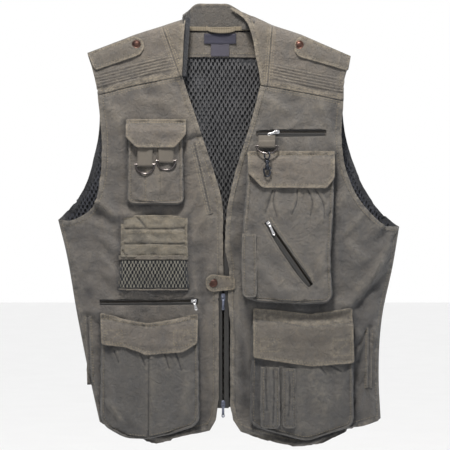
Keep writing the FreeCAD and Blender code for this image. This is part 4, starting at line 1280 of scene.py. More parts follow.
def strap(path, width, thick, spread):
    """Flat webbing with rounded edges along a path in space. spread is the direction across its width."""
    path = np.array(path, float)
    ahead = np.gradient(path, axis=0)
    ahead /= np.linalg.norm(ahead, axis=1)[:, None]
    spread = np.array(spread, float)
    side = spread - ahead * (ahead @ spread)[:, None]
    side /= np.linalg.norm(side, axis=1)[:, None]
    up = np.cross(ahead, side)
    half, deep = width / 2, thick / 2
    section = [(-half, 0), (-half + deep * 0.4, deep), (-half * 0.5, deep), (0, deep), (half * 0.5, deep),
               (half - deep * 0.4, deep), (half, 0), (half - deep * 0.4, -deep), (half * 0.5, -deep), (0, -deep),
               (-half * 0.5, -deep), (-half + deep * 0.4, -deep)]
    points = np.vstack([[p + u * s + v * t for s, t in section] for p, u, v in zip(path, side, up)])
    return points, skin(len(path), len(section))


def make_neck_trim():
    """The hang loop, the tape behind it and the two blank labels."""
    path = spline3([(-30.5, 0.4, 674), (-28.5, -1.8, 671.5), (-21, -4.6, 668), (-6, -5.6, 666.5), (8, -4.6, 667.5),
                    (15.5, -1.8, 670.5), (16.5, 0.4, 674)], 5)
    points, faces = strap(path, 6.0, 1.5, (0, 0.15, 1))
    add("hang_loop", points, faces, NECK_TAPE, stands_for=("hang_loop",))
    tape = spline3([(-64, -1.8, 671.5), (-40, -1.5, 671), (-6, -1.3, 670.6), (24, -1.5, 671.5),
                    (43, -1.8, 672.5)], 8)
    points, faces = strap(tape, 7.0, 1.1, (0, 0, 1))
    add("neck_tape", points, faces, NECK_TAPE)
    for name, x0, x1, low, high, material, seed, replaced in (
            ("main_label", -34, 18, 647.0, 663.5, LABEL, 3.0, ("neck_labels",)),
            ("care_label", -23, 7, 626.5, 647.5, CARE_LABEL, 5.0, ())):
        outline = ring(straight([(x0, low), (x1, low), (x1, high), (x0, high), (x0, low)], 2.5))
        flat, faces = cut(outline, 3.0)
        lift = 0.9 + 0.5 * rumple(flat, 14.0, seed) + 0.8 * step_down(flat[:, 1] - low, 1.0, 6.0)
        y = back_y(flat) - CLOTH - 4.2 - lift
        points = in_space(flat, y)
        area = area_of(points, faces)
        edge = gap(flat, outline, closed=True)
        points[:, 1] -= 0.35 * step_down(edge, 1.6, 0.8)
        piece = add_cloth(name, points, faces, 0.5, material, stands_for=replaced)
        declare(((x1 - x0) * 1.02, (high - low) * 1.02), area)


# ---------------------------------------------------------------- pockets ----

def relax(points, faces, fixed, times=4):
    """Even out the y positions of the points that are free."""
    count = len(points)
    a = np.array([(f[i], f[(i + 1) % len(f)]) for f in faces for i in range(len(f))])
    y = points[:, 1].copy()
    free = ~fixed
    for _ in range(times):
        total = np.zeros(count)
        number = np.zeros(count)
        np.add.at(total, a[:, 0], y[a[:, 1]])
        np.add.at(number, a[:, 0], 1)
        np.add.at(total, a[:, 1], y[a[:, 0]])
        np.add.at(number, a[:, 1], 1)
        y[free] = (total / np.maximum(number, 1))[free]
    result = points.copy()
    result[:, 1] = y
    return result


GUSSET = ((0.0, 0.0), (0.22, -0.6), (0.45, 1.8), (0.68, -0.8), (0.88, 0.0), (1.0, 1.4))


def bellows(name, path, depth_of, material, stands_for, lines=(), seed=1.0, puff=1.5, hem=5.0, spacing=4.5,
            growth=0.02, loose=(4.0, 2.5), gusset=GUSSET, shape=None, mouth=(), quiet=(), holes=(), tucks=(),
            shadow=None):
    """A pocket: gusset walls round its sides and bottom, a puffed front and an open, hemmed mouth at its top.

    path runs from the mouth's left end down, round the bottom and up to its right end; depth_of gives how
    far the front stands off what the pocket is sewn to, and lines are the rows of topstitching on the front.
    gusset is the walls' section, as (share of the depth, how far in). puff is how far the front's middle
    swells, tucks are pinched creases with painted shade along them, and shadow is a patch of painted shade.
    """
    deep = depth_of(path)
    top_line = straight([tuple(path[-1])] + list(mouth) + [tuple(path[0])])
    closed = ring(path, top_line)
    inward = offset(path, 1.0) - path
    rows = []
    for share, pull in gusset[:-1]:
        flat = path + inward * pull * np.minimum(deep / 12.0, 1.2)[:, None]
        rows.append(in_space(flat, front_y(path) + 0.6 - (deep + 0.6) * share))
    last = path + inward * gusset[-1][1]
    front_outline = ring(last, straight([tuple(last[-1])] + list(mouth) + [tuple(last[0])]))
    sewn = [offset(line, d) for line in [*lines, *tucks] for d in (-1.8, 0.0, 1.8)]
    flat, faces = cut(front_outline, spacing, (1.6, hem - 1.6, hem, hem + 1.6), sewn, holes)
    from_side = gap(flat, last)
    y = front_y(flat) - depth_of(flat) - puff * (1 - np.exp(-(from_side / 16.0) ** 2))
    front = in_space(flat, y)
    wall, wall_faces = grid(rows)
    wide = len(path)
    index = {(round(p[0], 2), round(p[1], 2)): k for k, p in enumerate(flat)}
    start = len(wall)
    rim = [index.get((round(p[0], 2), round(p[1], 2))) for p in last]
    for i in range(wide - 1):
        if rim[i] is not None and rim[i + 1] is not None:
            a = (len(rows) - 1) * wide + i
            wall_faces.append((a, a + 1, start + rim[i + 1], start + rim[i]))
    points = np.vstack([wall, front])
    all_faces = wall_faces + [tuple(i + start for i in f) for f in faces]
    sewn_rows = 2                # rows of the wall that are held where the pocket is sewn on
    pins = np.full(len(points), 0.35)
    pins[:wide * sewn_rows] = 1.0
    pins[start:] = np.clip(0.5 - from_side / 8.0, 0, 1)
    at_mouth = gap(flat, top_line) < 6.0
    pins[start:][at_mouth] = 0.6
    still = points.copy()
    points[start:, 1] -= 0.8 * rumple(flat, 24.0, seed)
    points = capped(settle(points, all_faces, pins, growth, gravity=1.0, frames=18), still, *loose)
    d_lines = gap_to_any(flat, lines)
    relief = (0.9 * bump(from_side, 0.6, 1.6) - 0.7 * bump(from_side, 3.2, 1.1)
              + pucker(flat, from_side, 12.0, 0.9, seed)
              - 0.8 * bump(d_lines, 0.0, 1.3) + pucker(flat, d_lines, 7.0, 0.5, seed + 1)
              + 1.0 * creases(flat, 34.0, seed + 5, (1.0, 0.6)) * np.clip(from_side / 14.0, 0, 1)
              + 0.5 * rumple(flat, 12.0, seed + 6))
    if shape:
        relief += shape(flat)
    from_tuck = gap_to_any(flat, tucks)
    relief += 1.3 * bump(from_tuck, 3.6, 2.4) - 1.5 * bump(from_tuck, 0.0, 1.5)
    points[start:, 1] -= relief
    for line in quiet:
        share = np.exp(-(gap(flat, line) / 12.0) ** 2)
        plain = front_y(flat) - depth_of(flat) - 0.3
        points[start:, 1] = points[start:, 1] * (1 - share) + plain * share
    points[:start, 0] += 0.5 * rumple(points[:start][:, [1, 2]], 8.0, seed + 7)
    # worn rim and mouth; painted shade beside the rim, along the tucks and sewn rows, and in hollows
    front_marks = joined(
        marks_of(0.6 * bump(from_side, 0.0, 1.8), np.clip(0.8 * bump(from_side, 3.2, 1.0), 0, 1)),
        marks_of(np.where(at_mouth, 0.7 * bump(gap(flat, top_line), 0.0, 2.4), 0.0), 0.0 * from_side),
        marks_of(0.5 * bump(from_tuck, 3.0, 1.6), 0.9 * bump(from_tuck, 0.0, 1.3)), seam_marks(d_lines),
        crease_marks(relief))
    # painted shade within the shadow patch
    if shadow is not None:
        within = inside(flat, shadow)
        deeper = np.maximum(front_marks["painted_shade"], 0.55)
        front_marks["painted_shade"] = np.where(within, deeper, front_marks["painted_shade"])
        front_marks["wear"] = np.where(within, 0.0, front_marks["wear"])
    # painted shade on the gusset walls, which stand in the shadow of the pocket's front
    wall_wear, wall_shade = np.full(start, 0.1), np.full(start, 0.85)
    marks = marks_of(np.concatenate([wall_wear, front_marks["wear"]]),
                     np.concatenate([wall_shade, front_marks["painted_shade"]]))
    area = area_of(still, all_faces)
    piece = add_cloth(name, points, all_faces, CLOTH * 0.9, material, stands_for=stands_for, marks=marks)
    walls = 2 * deep.max() * (gusset[-1][0] - gusset[0][0])
    declare(extent(closed) + walls, area)
    tree = tree_of(points, all_faces)
    sew("vest", beside(last, 3.2, front_outline), tree)
    sew("vest", beside(top_line, hem, front_outline), tree)
    for line in lines:
        sew("vest", line[inside(line, front_outline)], tree)
    return tree


def sloped(bottom, top, depth_bottom, depth_top):
    """How far a pocket's front stands off, growing from its mouth to its bottom."""
    def depth_of(points):
        t = np.clip((top - points[:, 1]) / (top - bottom), 0, 1)
        return depth_top + (depth_bottom - depth_top) * t
    return depth_of


def flap(name, outline, hinge_h, depth_of, trees, material, seed, blend_at, lines, squares=(), calm_at=None,
         also=()):
    """A pocket flap: sewn down along its top, bent forward over the pocket and curling a little at its end.

    also names further CAD nodes that the flap's cloth stands for.
    """
    hem, curl = 5.5, 2.5
    sewn = [offset(line, d) for line in lines for d in (-1.6, 0.0, 1.6)]
    flat, faces = cut(outline, 3.6, (1.3, hem - 1.6, hem, hem + 1.6), sewn)
    below = hinge_h - flat[:, 1]
    t = np.clip(below / 12.0 + 0.35, 0, 1)
    lift = (depth_of(flat) + 2.4) * t * t * (3 - 2 * t)
    points = in_space(flat, front_y(flat) - 1.5 - lift)
    area = area_of(points, faces)
    points = lay_over(points, trees, 1.8)
    sewn_down = below < 0
    points = relax(points, faces, sewn_down, 6)
    points = lay_over(points, trees, 1.5)
    points = relax(points, faces, sewn_down, 2)
    edge = gap(flat, outline, closed=True)
    low = flat[:, 1].min()
    reach = np.clip((hinge_h - flat[:, 1]) / (hinge_h - low), 0, 1)
    d_lines = np.minimum(gap_to_any(flat, lines), gap_to_any(flat, squares) + 0.4)
    ripple = 1.5 * rumple(flat, 30.0, seed, (1.0, 0.5)) + 1.0 * creases(flat, 26.0, seed + 4, (0.5, 1.2))
    ripple = ripple * np.clip(reach * 2, 0.3, 1)
    relief = (hem_relief(edge, hem) + pucker(flat, edge, 10.0, 0.9, seed + 1) - 0.8 * bump(d_lines, 0.0, 1.2)
              + ripple + curl * reach ** 4 * (0.6 + 0.6 * rumple(flat, 45.0, seed + 2)) + 0.6)
    if calm_at:
        relief = np.where(relief > 0, relief * (1 - bump(gap(flat, straight(calm_at)), 0.0, 16.0)), relief)
    points[:, 1] -= relief
    first = lines[0]
    above = flat[:, 1] - np.interp(flat[:, 0], first[:, 0], first[:, 1])
    points[:, 1] -= 0.7 * step_down(-above, 0.0, 1.5) - 0.7 * bump(above, -0.8, 1.2)
    # painted shade just below the first sewn row, and a worn band above it
    top_band = marks_of(0.7 * step_down(np.abs(above - 4.0), 4.5, 1.5), 0.9 * bump(above, -0.8, 1.3))
    marks = joined(hem_marks(edge, hem), seam_marks(d_lines), top_band, crease_marks(ripple))
    piece = add_cloth(name, points, faces, CLOTH * 1.2, material, None, (name, *also), marks=marks)
    bend(piece)
    declare(extent(outline) + 6, area)
    tree = tree_of(points, faces)
    for distance in (1.8, hem):
        round_line = inset(outline, distance)
        round_line = round_line[gap(round_line, outline, closed=True) > distance * 0.9]
        sew(name, np.vstack([round_line, round_line[:1]]), tree, blend_at=blend_at)
    for line in [*lines, *squares]:
        sew(name, line[inside(line, outline)], tree, blend_at=blend_at)
    return tree


def vertical(x, low, high, lean_x=0.0):
    """An upright line, leaning sideways by lean_x at its top."""
    return straight([(x, low), (x + lean_x, high)])


def hook_square(x0, x1, low, high):
    """The stitching that holds a square of hook tape: once round it and once across."""
    return [straight([(x0, low), (x1, low), (x1, high), (x0, high), (x0, low)], 2.0),
            straight([(x0, low), (x1, high)], 2.0)]


CARD_SHADOW = np.array([(-147, 357), (-141, 352), (-113, 325), (-150, 326)], float)
CHEST_TUCKS = [smooth([(76, 411), (70, 392), (64, 374)]), smooth([(80, 411), (77, 392), (82, 372)]),
               smooth([(115, 411), (114, 392), (106, 373)]), smooth([(132, 411), (139, 393), (136, 372)]),
               smooth([(146, 408), (156, 390), (158, 366)])]
LEFT_CARGO_TUCKS = [smooth([(150, 132), (160, 118)]), smooth([(166, 132), (184, 122)])]
CARGO_TUCKS = [smooth([(-176, 152), (-170, 138)]), smooth([(-134, 148), (-128, 132)]),
               smooth([(-96, 148), (-90, 128)]), smooth([(-78, 148), (-70, 124)])]


def make_right_pockets():
    """The wearer's right: chest pocket, cargo pocket and three card pockets."""
    chest = sloped(390, 508, 11, 7)
    path = cornered([(-153, 506), (-155, 450), (-155, 393), (-148, 388), (-74, 388), (-67, 392), (-67, 450),
                     (-69, 506)])
    pleats = [vertical(-127, 393, 500), vertical(-104, 393, 500)]

    def box_pleat(points):
        middle = np.abs(points[:, 0] + 115.5)
        return 1.6 * step_down(middle, 11.5, 3.0)

    chest_tree = bellows("right_chest_pocket", path, chest, TWILL, ("right_chest_pocket",), pleats, seed=51.0,
                         puff=1.2, shape=box_pleat)
    cargo = sloped(38, 196, 20, 8)
    path = cornered([(-197, 194), (-198, 120), (-198, 47), (-190, 33), (-158, 16), (-124, 14), (-86, 22),
                     (-50, 34), (-42, 44), (-42, 120), (-44, 194)], 10.0)
    pleat = [vertical(-122, 20, 190, 1)]
    folds = [((-188, 76), (-160, 40), 2.6, 6), ((-118, 140), (-116, 60), 1.6, 8), ((-60, 120), (-66, 50), 1.8, 8),
             ((-186, 140), (-180, 80), 1.4, 7)]

    def cargo_shape(points):
        return 1.2 * step_down(-points[:, 0], 121.5, 1.5) + folded(points, folds, POCKET_FOLD_DEPTH)

    cargo_tree = bellows("right_cargo_pocket", path, cargo, TWILL_POCKET, ("right_cargo_pocket",), (), seed=53.0,
                         puff=2.0, shape=cargo_shape, tucks=CARGO_TUCKS + pleat)

    # the straight tucks paint a line of shade just above the mouth of the pocket in front
    card_tucks = ([straight([(-160, 348), (-66, 348)]), smooth([(-140, 366), (-126, 350)])],
                  [straight([(-160, 324), (-66, 324)])], [smooth([(-164, 312), (-158, 304)])])

    def crumple(points):
        return (1.4 * creases(points, 20.0, 7.4, (0.7, 1.2)) + 1.2 * rumple(points, 15.0, 2.9)
                + fold(points, (-150, 362), (-118, 318), 2.2, 8)
                + fold(points, (-96, 360), (-70, 330), 1.6, 7))

    for index, top in enumerate((369, 346, 322)):
        stand = 1.6 * (index + 1)
        path = cornered([(-167 + index * 0.8, top - 1), (-167, 340 - index * 12), (-167, 302), (-59, 302),
                         (-60, 340 - index * 12), (-60 - index * 0.8, top - 1.5)], 3.0)
        bellows("card_pocket_" + str(index + 1), path, lambda p, d=stand: np.full(len(p), d), TWILL_CARD,
                       ("card_pockets",) if index == 0 else (), (), seed=57.0 + index, puff=0.8, hem=4.0,
                       growth=0.012, loose=(1.0, 0.3), gusset=((0.0, 0.0), (0.6, -0.2), (1.0, 0.4)),
                       shape=crumple, tucks=card_tucks[index], shadow=CARD_SHADOW,
                       mouth=[(-110, top + 0.8 * (-1) ** index)])
    return chest, chest_tree, cargo, cargo_tree


def make_left_pockets():
    """The wearer's left: chest pocket with its pen pocket, cargo pocket with two tool pockets."""
    chest = sloped(235, 462, 22, 7)
    path = cornered([(37, 460), (35, 420), (30, 355), (27, 290), (30, 240), (53, 233), (122, 229), (162, 231),
                     (170, 240), (168, 309), (173, 392), (174, 460)], 8.0)
    folds = [((78, 408), (88, 360), 1.8, 5), ((117, 408), (105, 372), 1.6, 5), ((74, 404), (58, 364), -1.6, 5),
             ((150, 330), (160, 250), 2.2, 9), ((60, 300), (110, 245), 1.6, 8), ((140, 400), (158, 350), 1.6, 7)]

    def chest_shape(points):
        return folded(points, folds, POCKET_FOLD_DEPTH)

    chest_tree = bellows("left_chest_pocket", path, chest, TWILL_LEFT, ("left_chest_pocket",),
                         [offset(straight(SLANT_SLIT), 7.0), offset(straight(SLANT_SLIT), -7.0)], seed=61.0,
                         puff=2.2, shape=chest_shape, tucks=CHEST_TUCKS, quiet=[straight(SLANT_SLIT)],
                         holes=[slit(*SLANT_SLIT)])

    def left_cargo_shape(points):
        return (5.0 - 0.08 * np.abs(points[:, 0] - 136) + fold(points, (150, 130), (160, 50), 3.2, 9)
                + fold(points, (128, 120), (134, 40), -2.4, 6) + fold(points, (186, 120), (178, 50), 2.6, 7))

    cargo = sloped(36, 195, 20, 8)
    path = cornered([(44, 193), (42, 120), (41, 42), (50, 33), (80, 24), (118, 14), (132, 12), (170, 24),
                     (198, 33), (204, 44), (204, 120), (202, 193)], 9.0)
    cargo_tree = bellows("left_cargo_pocket", path, cargo, TWILL_POCKET, ("left_cargo_pocket",), [], seed=63.0,
                         puff=2.0, tucks=LEFT_CARGO_TUCKS,
                         shape=left_cargo_shape)
    pen = cornered([(27, 340), (26, 290), (28, 243), (33, 238), (47, 238), (51, 243), (51, 290), (50, 339)],
                   3.0)
    bellows("pen_pocket", pen, lambda p: chest(p) + 4.5, TWILL_LEFT, ("pen_pocket",), [], seed=65.0, puff=1.5,
            hem=3.0, spacing=3.0, growth=0.015, loose=(1.0, 0.5),
            gusset=((0.7, 1.2), (0.8, 0.0), (0.9, 0.2), (1.0, 1.2)))
    tool_tucks = ([smooth([(66, 127), (65, 100), (67, 60)]), smooth([(77, 127), (78, 90), (76, 40)])],
                  [smooth([(101, 125), (103, 100), (101, 50)])])
    for index, (x0, x1, top) in enumerate(((56, 88, 128), (90, 114, 126))):
        tool = cornered([(x0 + 1, top), (x0, 80), (x0 + 1, 34), (x0 + 5, 30), (x1 - 4, 30), (x1, 34), (x1, 80),
                         (x1 - 1, top - 1)], 3.0)
        bellows("tool_pocket_" + str(index + 1), tool, lambda p: cargo(p) + 5.0, TWILL_POCKET,
                ("tool_pockets",) if index == 0 else (), [], seed=67.0 + index, puff=2.0, hem=3.0, spacing=3.0,
                shape=lambda p: 1.7 * creases(p, 30.0, 8.3, (3.0, 0.25)), tucks=tool_tucks[index],
                growth=0.015, loose=(1.0, 0.5), gusset=((0.75, 1.0), (0.85, -0.4), (0.93, 0.2), (1.0, 1.4)))
    return chest, chest_tree, cargo, cargo_tree


def make_flaps(right, left):
    """The four pocket flaps, over the pockets that the two functions above gave back."""
    chest_r, chest_r_tree, cargo_r, cargo_r_tree = right
    chest_l, chest_l_tree, cargo_l, cargo_l_tree = left
    flap("right_chest_flap",
         rounded([(-158, 523), (-62, 523), (-62, 498), (-80, 477), (-141, 477), (-158, 493)], 3.0),
         517, lambda p: chest_r(p) + 3.0, [chest_r_tree, RIGHT_TREE], TWILL_FLAP, 71.0,
         ((-110, -36, 519), (-110, -36, 509)), [straight([(-158, 517), (-62, 517)])])
    flap("left_chest_flap", rounded([(36, 472), (176, 472), (175, 429), (162, 412), (60, 413), (37, 436)], 4.0),
         465, chest_l, [chest_l_tree, LEFT_TREE], TWILL_FLAP, 73.0,
         ((106, -36, 468), (106, -36, 457)), [straight([(36, 465), (176, 465)])],
         calm_at=[(70, 470), (72, 424)])
    flap("right_cargo_flap",
         rounded([(-200, 214), (-161, 203), (-122, 197), (-82, 203), (-43, 212), (-44, 165), (-66, 151),
                  (-124, 146), (-158, 158), (-197, 163)], 5.0),
         202, cargo_r, [cargo_r_tree, RIGHT_TREE], TWILL_FLAP, 75.0,
         ((-122, -37, 206), (-122, -37, 194)), [smooth([(-200, 205), (-122, 193), (-43, 204)])],
         hook_square(-190, -164, 164, 186) + hook_square(-82, -54, 162, 186), also=("right_cargo_hooks",))
    flap("left_cargo_flap",
         rounded([(45, 221), (100, 216), (136, 211), (168, 216), (204, 221), (206, 134), (138, 128), (76, 137),
                  (45, 142)], 5.0),
         200, cargo_l, [cargo_l_tree, LEFT_TREE], TWILL_TRIM, 77.0,
         ((125, -37, 204), (125, -37, 192)),
         [smooth([(45, 204), (90, 199), (136, 193), (170, 196), (206, 199)])],
         hook_square(56, 86, 152, 172) + hook_square(172, 200, 146, 170), also=("left_cargo_hooks",))


YOKES = make_yokes()
make_neckbands()
make_collar()
make_neck_trim()
make_flaps(make_right_pockets(), make_left_pockets())


# --------------------------------------------- straps, snaps and hardware ----

def lathe(profile, centre, parts=36):
    """A turned shape whose axis runs toward -y. profile is (radius, how far out), from rim to middle."""
    x, y, h = centre
    points = []
    for radius, out in profile:
        for k in range(parts):
            angle = 2 * math.pi * k / parts
            points.append((x + radius * math.cos(angle), y - out, h + radius * math.sin(angle)))
    return np.array(points), skin(len(profile), parts)


SNAP_PROFILE = [(6.6, 0.0), (7.1, 0.3), (7.2, 0.8), (6.8, 1.3), (6.0, 1.5), (5.4, 1.3), (5.1, 1.05), (4.8, 1.3),
                (4.2, 1.8), (3.0, 2.15), (1.6, 2.3), (0.4, 2.34)]
STUD_PROFILE = [(2.0, 0.0), (2.0, 1.4), (1.6, 1.9), (0.3, 2.0)]


def snapped_strap(name, corners, snap, under, blend_at, rows, seed):
    """A strap end with its snap cap, sewn across its fixed end with the given rows of stitches."""
    outline = rounded(corners, 4.0, 2.5)
    sewn_lines = [offset(row, d) for row in rows for d in (-1.2, 0, 1.2)]
    flat, faces = cut(outline, 3.0, (1.2, 3.2, 4.6, 6.0), sewn_lines)
    points = in_space(flat, front_y(flat) - 1.6)
    points = lay_over(points, under, 1.9)
    points = relax(points, faces, np.zeros(len(points), bool), 5)
    points = lay_over(points, under, 1.6)
    area = area_of(points, faces)
    edge = gap(flat, outline, closed=True)
    sewn = gap_to_any(flat, rows)
    points[:, 1] -= (hem_relief(edge, 4.6) * 0.8 + 0.6 * rumple(flat, 16.0, seed) + 0.5
                     - 0.6 * bump(sewn, 0.0, 1.1))
    points[:, 1] += 0.8 * bump(gap(flat, [snap, (snap[0] + 0.01, snap[1])]), 0.0, 7.0)
    # worn hems, and painted shade in the hem and seam grooves
    marks = joined(hem_marks(edge, 4.6), seam_marks(sewn))
    tree = tree_of(points, faces)
    piece = add_cloth(name, points, faces, 1.5, TWILL_TRIM, None, (name,), marks=marks)
    bend(piece)
    declare(extent(outline) + 2, area)
    for distance in (1.6, 4.6):
        line = inset(outline, distance)
        sew(name, line[gap(line, outline, closed=True) > distance * 0.9], tree, blend_at=blend_at)
    for row in rows:
        sew(name, row[inside(row, outline)], tree, colour="dark", blend_at=blend_at)
    hit = tree.ray_cast(Vector((snap[0], -RAY_START, snap[1])), ALONG_Y)[0]
    points, faces = lathe(SNAP_PROFILE, (snap[0], hit.y + 0.2, snap[1]))
    add(name + "_cap", points, faces, COPPER, name, (name + "_cap",))
    return lathe(STUD_PROFILE, (snap[0], hit.y + 3.4, snap[1]), 20)


def merged(meshes):
    """Several meshes as one."""
    points, faces, start = [], [], 0
    for p, f in meshes:
        points.append(p)
        faces += [tuple(i + start for i in face) for face in f]
        start += len(p)
    return np.vstack(points), faces


def make_straps(yokes):
    """The two epaulettes, the storm tab, their caps and the studs under them."""
    studs = [
        snapped_strap("right_epaulette",
                      [(-221, 629), (-145, 657), (-131, 649), (-129, 638), (-136, 626), (-208, 601)],
                      (-142, 643), [yokes[0]], ((-214, -30, 614), (-203, -30, 619)),
                      [straight([(-216 + d, 629 + d * 0.37), (-205 + d, 602 + d * 0.37)])
                       for d in (3, 6, 9, 12)], 81.0),
        snapped_strap("left_epaulette", [(202, 625), (122, 658), (112, 648), (111, 632), (118, 623), (197, 600)],
                      (119, 642), [yokes[1]], ((199, -30, 612), (188, -30, 616)),
                      [straight([(199 - d, 625 + d * 0.4), (194 - d, 602 + d * 0.4)])
                       for d in (2, 5, 8, 11)], 83.0),
        snapped_strap("storm_tab", [(16, 270), (-22, 275), (-31, 268), (-31, 254), (-22, 246), (16, 250)],
                      (-19, 261), [RIGHT_TREE, LEFT_TREE], ((16, -30, 260), (9, -30, 260)),
                      [straight([(12, 271), (12, 249)])], 85.0)]
    points, faces = merged(studs)
    add("snap_studs", points, faces, COPPER, "vest", ("snap_studs",))


def tube(path, radii, parts=12, flatten=1.0):
    """A round bar along a path in space. flatten squeezes it along y."""
    path = np.array(path, float)
    ahead = np.gradient(path, axis=0)
    ahead /= np.linalg.norm(ahead, axis=1)[:, None]
    y_axis = np.array([0, 1.0, 0])
    side = np.cross(ahead, y_axis)
    lengths = np.linalg.norm(side, axis=1)[:, None]
    side = np.where(lengths > 0.05, side / np.maximum(lengths, 1e-6), np.array([1.0, 0, 0]))
    up = np.cross(side, ahead)
    radii = np.broadcast_to(np.asarray(radii, float), (len(path),))
    points = []
    for p, u, v, r in zip(path, side, up, radii):
        for k in range(parts):
            angle = 2 * math.pi * k / parts
            points.append(p + r * (u * math.cos(angle) + v * math.sin(angle) * flatten))
    return np.array(points), skin(len(path), parts, turned=True)


def joint_place(name):
    """A joint's position in the vest's own millimetres."""
    found = [j for j in frame["joints"] if j["name"] == name][0]
    return np.array(found["pos_m"]) / MM + HANG


def ring_strap(bar, top, width, back_y_top, thick=1.2):
    """Webbing that comes down from a seam, turns round a ring's bar and goes back up behind itself."""
    x, y, h = bar
    turn = 2.7
    half_y, half_h = (back_y_top + y) / 2, (top + h) / 2
    path = [(x, back_y_top - 2.6, top), (x, half_y - 2.6, half_h), (x, y - turn + 0.4, h + 7)]
    for k in range(7):
        angle = math.pi * (0.92 + k * 0.22)
        path.append((x, y + turn * math.cos(angle), h + turn * math.sin(angle)))
    path += [(x, y + turn + 0.2, h + 6), (x, half_y + 0.3, half_h), (x, back_y_top - 0.3, top - 4)]
    return strap(spline3(path, 4), width, thick, (1, 0, 0))


def make_ring_straps():
    """The webbing that holds the three rings, and the rings' metal."""
    bars = [joint_place("outer_chest_ring_swing"), joint_place("inner_chest_ring_swing")]
    points, faces = merged([ring_strap(bar, 506, 24.0, -36.0) for bar in bars])
    add("chest_ring_straps", points, faces, WEBBING, "vest", ("chest_ring_straps",))
    points, faces = ring_strap(joint_place("hook_ring_swing"), 497, 27.0, -29.5, 1.4)
    add("hook_ring_strap", points, faces, WEBBING, "vest", ("hook_ring_strap",))
    for node in ("outer_chest_ring", "inner_chest_ring", "hook_ring"):
        dress(node, NICKEL)


def dress(node, material):
    """Give a CAD node that keeps its shape a better material."""
    piece = frame["nodes"][node]
    piece.data.materials.clear()
    piece.data.materials.append(material)


def make_snap_hook():
    """A swivel hook: eye and stem, turned collar, shouldered body, tapering bow and a thumb bolt."""
    dress("hook_eye", GUNMETAL)
    low, high = (np.array(c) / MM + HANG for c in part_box("snap_hook"))
    bolt_low, bolt_high = (np.array(c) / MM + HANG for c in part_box("hook_bolt"))
    x, y = joint_place("snap_hook_swivel")[:2]
    top = high[2]
    body = [(0.0, 3.6), (0.8, 4.3), (3.0, 4.4), (3.8, 3.6), (4.4, 2.7), (6.0, 2.6), (10.0, 2.9), (13.6, 3.3),
            (15.2, 3.0), (15.8, 2.0)]
    points, faces = tube([(x, y, top - d) for d, _ in body], [r for _, r in body], 24, flatten=0.8)
    bow_top = top - 12.6
    bottom = low[2] + 1.4
    reach = 4.8
    bow = spline3([(x - reach + 0.3, y, bow_top), (x - reach - 0.3, y, bow_top - 4), (x - reach, y, bow_top - 7.4),
                   (x - 2.6, y, bottom + 0.9), (x, y, bottom), (x + 2.8, y, bottom + 0.9),
                   (x + reach, y, bow_top - 7.4), (x + reach + 0.1, y, bow_top - 5.0)], 5)
    radii = np.interp(np.linspace(0, 1, len(bow)), [0, 0.3, 0.6, 1], [1.7, 1.35, 1.35, 1.5])
    rib = tube([(x, y - 2.6, top - 6), (x, y - 3.0, top - 10), (x, y - 2.5, top - 13.6)], [0.4, 0.9, 0.4], 8)
    points, faces = merged([(points, faces), tube(bow, radii, 14), rib])
    add("snap_hook", points, faces, GUNMETAL, "snap_hook", ("snap_hook",))
    bx = x + reach - 0.5
    bolt = tube([(bx, y, bolt_low[2]), (bx, y, bolt_low[2] + 0.8), (bx, y, bolt_high[2])], [0.8, 1.1, 1.1], 14)
    lug_h = bolt_high[2] - 1.6
    lug = tube([(bx + 0.6, y, lug_h), (bx + 2.2, y, lug_h), (bx + 3.0, y, lug_h)], [1.0, 1.5, 0.9], 14)
    points, faces = merged([bolt, lug])
    add("hook_bolt", points, faces, GUNMETAL, "hook_bolt", ("hook_bolt",))


# ------------------------------------------------------------------- zips ----

class Zip:
    """Where a zip lies: along its length, across it, and how far in front of its tape."""

    def __init__(self, start, end, plane):
        self.start = np.array(start, float)
        run = np.array(end, float) - self.start
        self.length = float(np.linalg.norm(run))
        self.ahead = run / self.length
        self.across = np.array([-self.ahead[1], self.ahead[0]])
        self.plane = plane

    def put(self, points):
        """points are (along, across, out), out being how far in front of the tape."""
        points = np.asarray(points, float)
        flat = self.start + points[:, :1] * self.ahead + points[:, 1:2] * self.across
        return in_space(flat, self.plane(flat) - points[:, 2])


def flat_plane(points):
    """Where the tape of a zip on the fronts lies."""
    return np.full(len(points), FRONT + 2.0)


def slant_plane(points):
    """Where the tape of the zip on the sloping chest pocket lies."""
    pocket_top, pocket_bottom = 462.0, 235.0
    slope = (22.0 - 7.0) / (pocket_top - pocket_bottom)
    return FRONT + 2.0 - 7.0 - slope * (pocket_top - points[:, 1])


FRONT_ZIP = Zip((-3, 60), (-3, 330), flat_plane)
WAIST = Zip(*WAIST_ZIP, flat_plane)
BREAST = Zip(*BREAST_ZIP, flat_plane)
SLANT = Zip(*SLANT_SLIT, slant_plane)
TOOTH_PITCH = 3.0
TAPE_HALF = 9.0


def half_tape(zip_line, side, seed):
    """One woven tape: a cord beside the teeth, a flat band and a slightly rippled edge."""
    stations = np.arange(0, zip_line.length + 1, 3.0)
    profile = [(2.2, 0.1), (2.6, 0.5), (3.2, 0.55), (3.8, 0.1), (5.2, 0.0), (7.0, 0.0), (TAPE_HALF, -0.1)]
    rows = []
    for across, out in profile:
        ripple = 0.25 * np.sin(stations * 0.21 + seed) * max(0.0, (across - 4) / 5)
        sideways = np.full(len(stations), side * across)
        rows.append(zip_line.put(np.stack([stations, sideways, out + ripple - 0.2], axis=1)))
    points, faces = grid(rows)
    if side > 0:
        faces = [tuple(reversed(f)) for f in faces]
    return thicken(points, faces, 0.7)


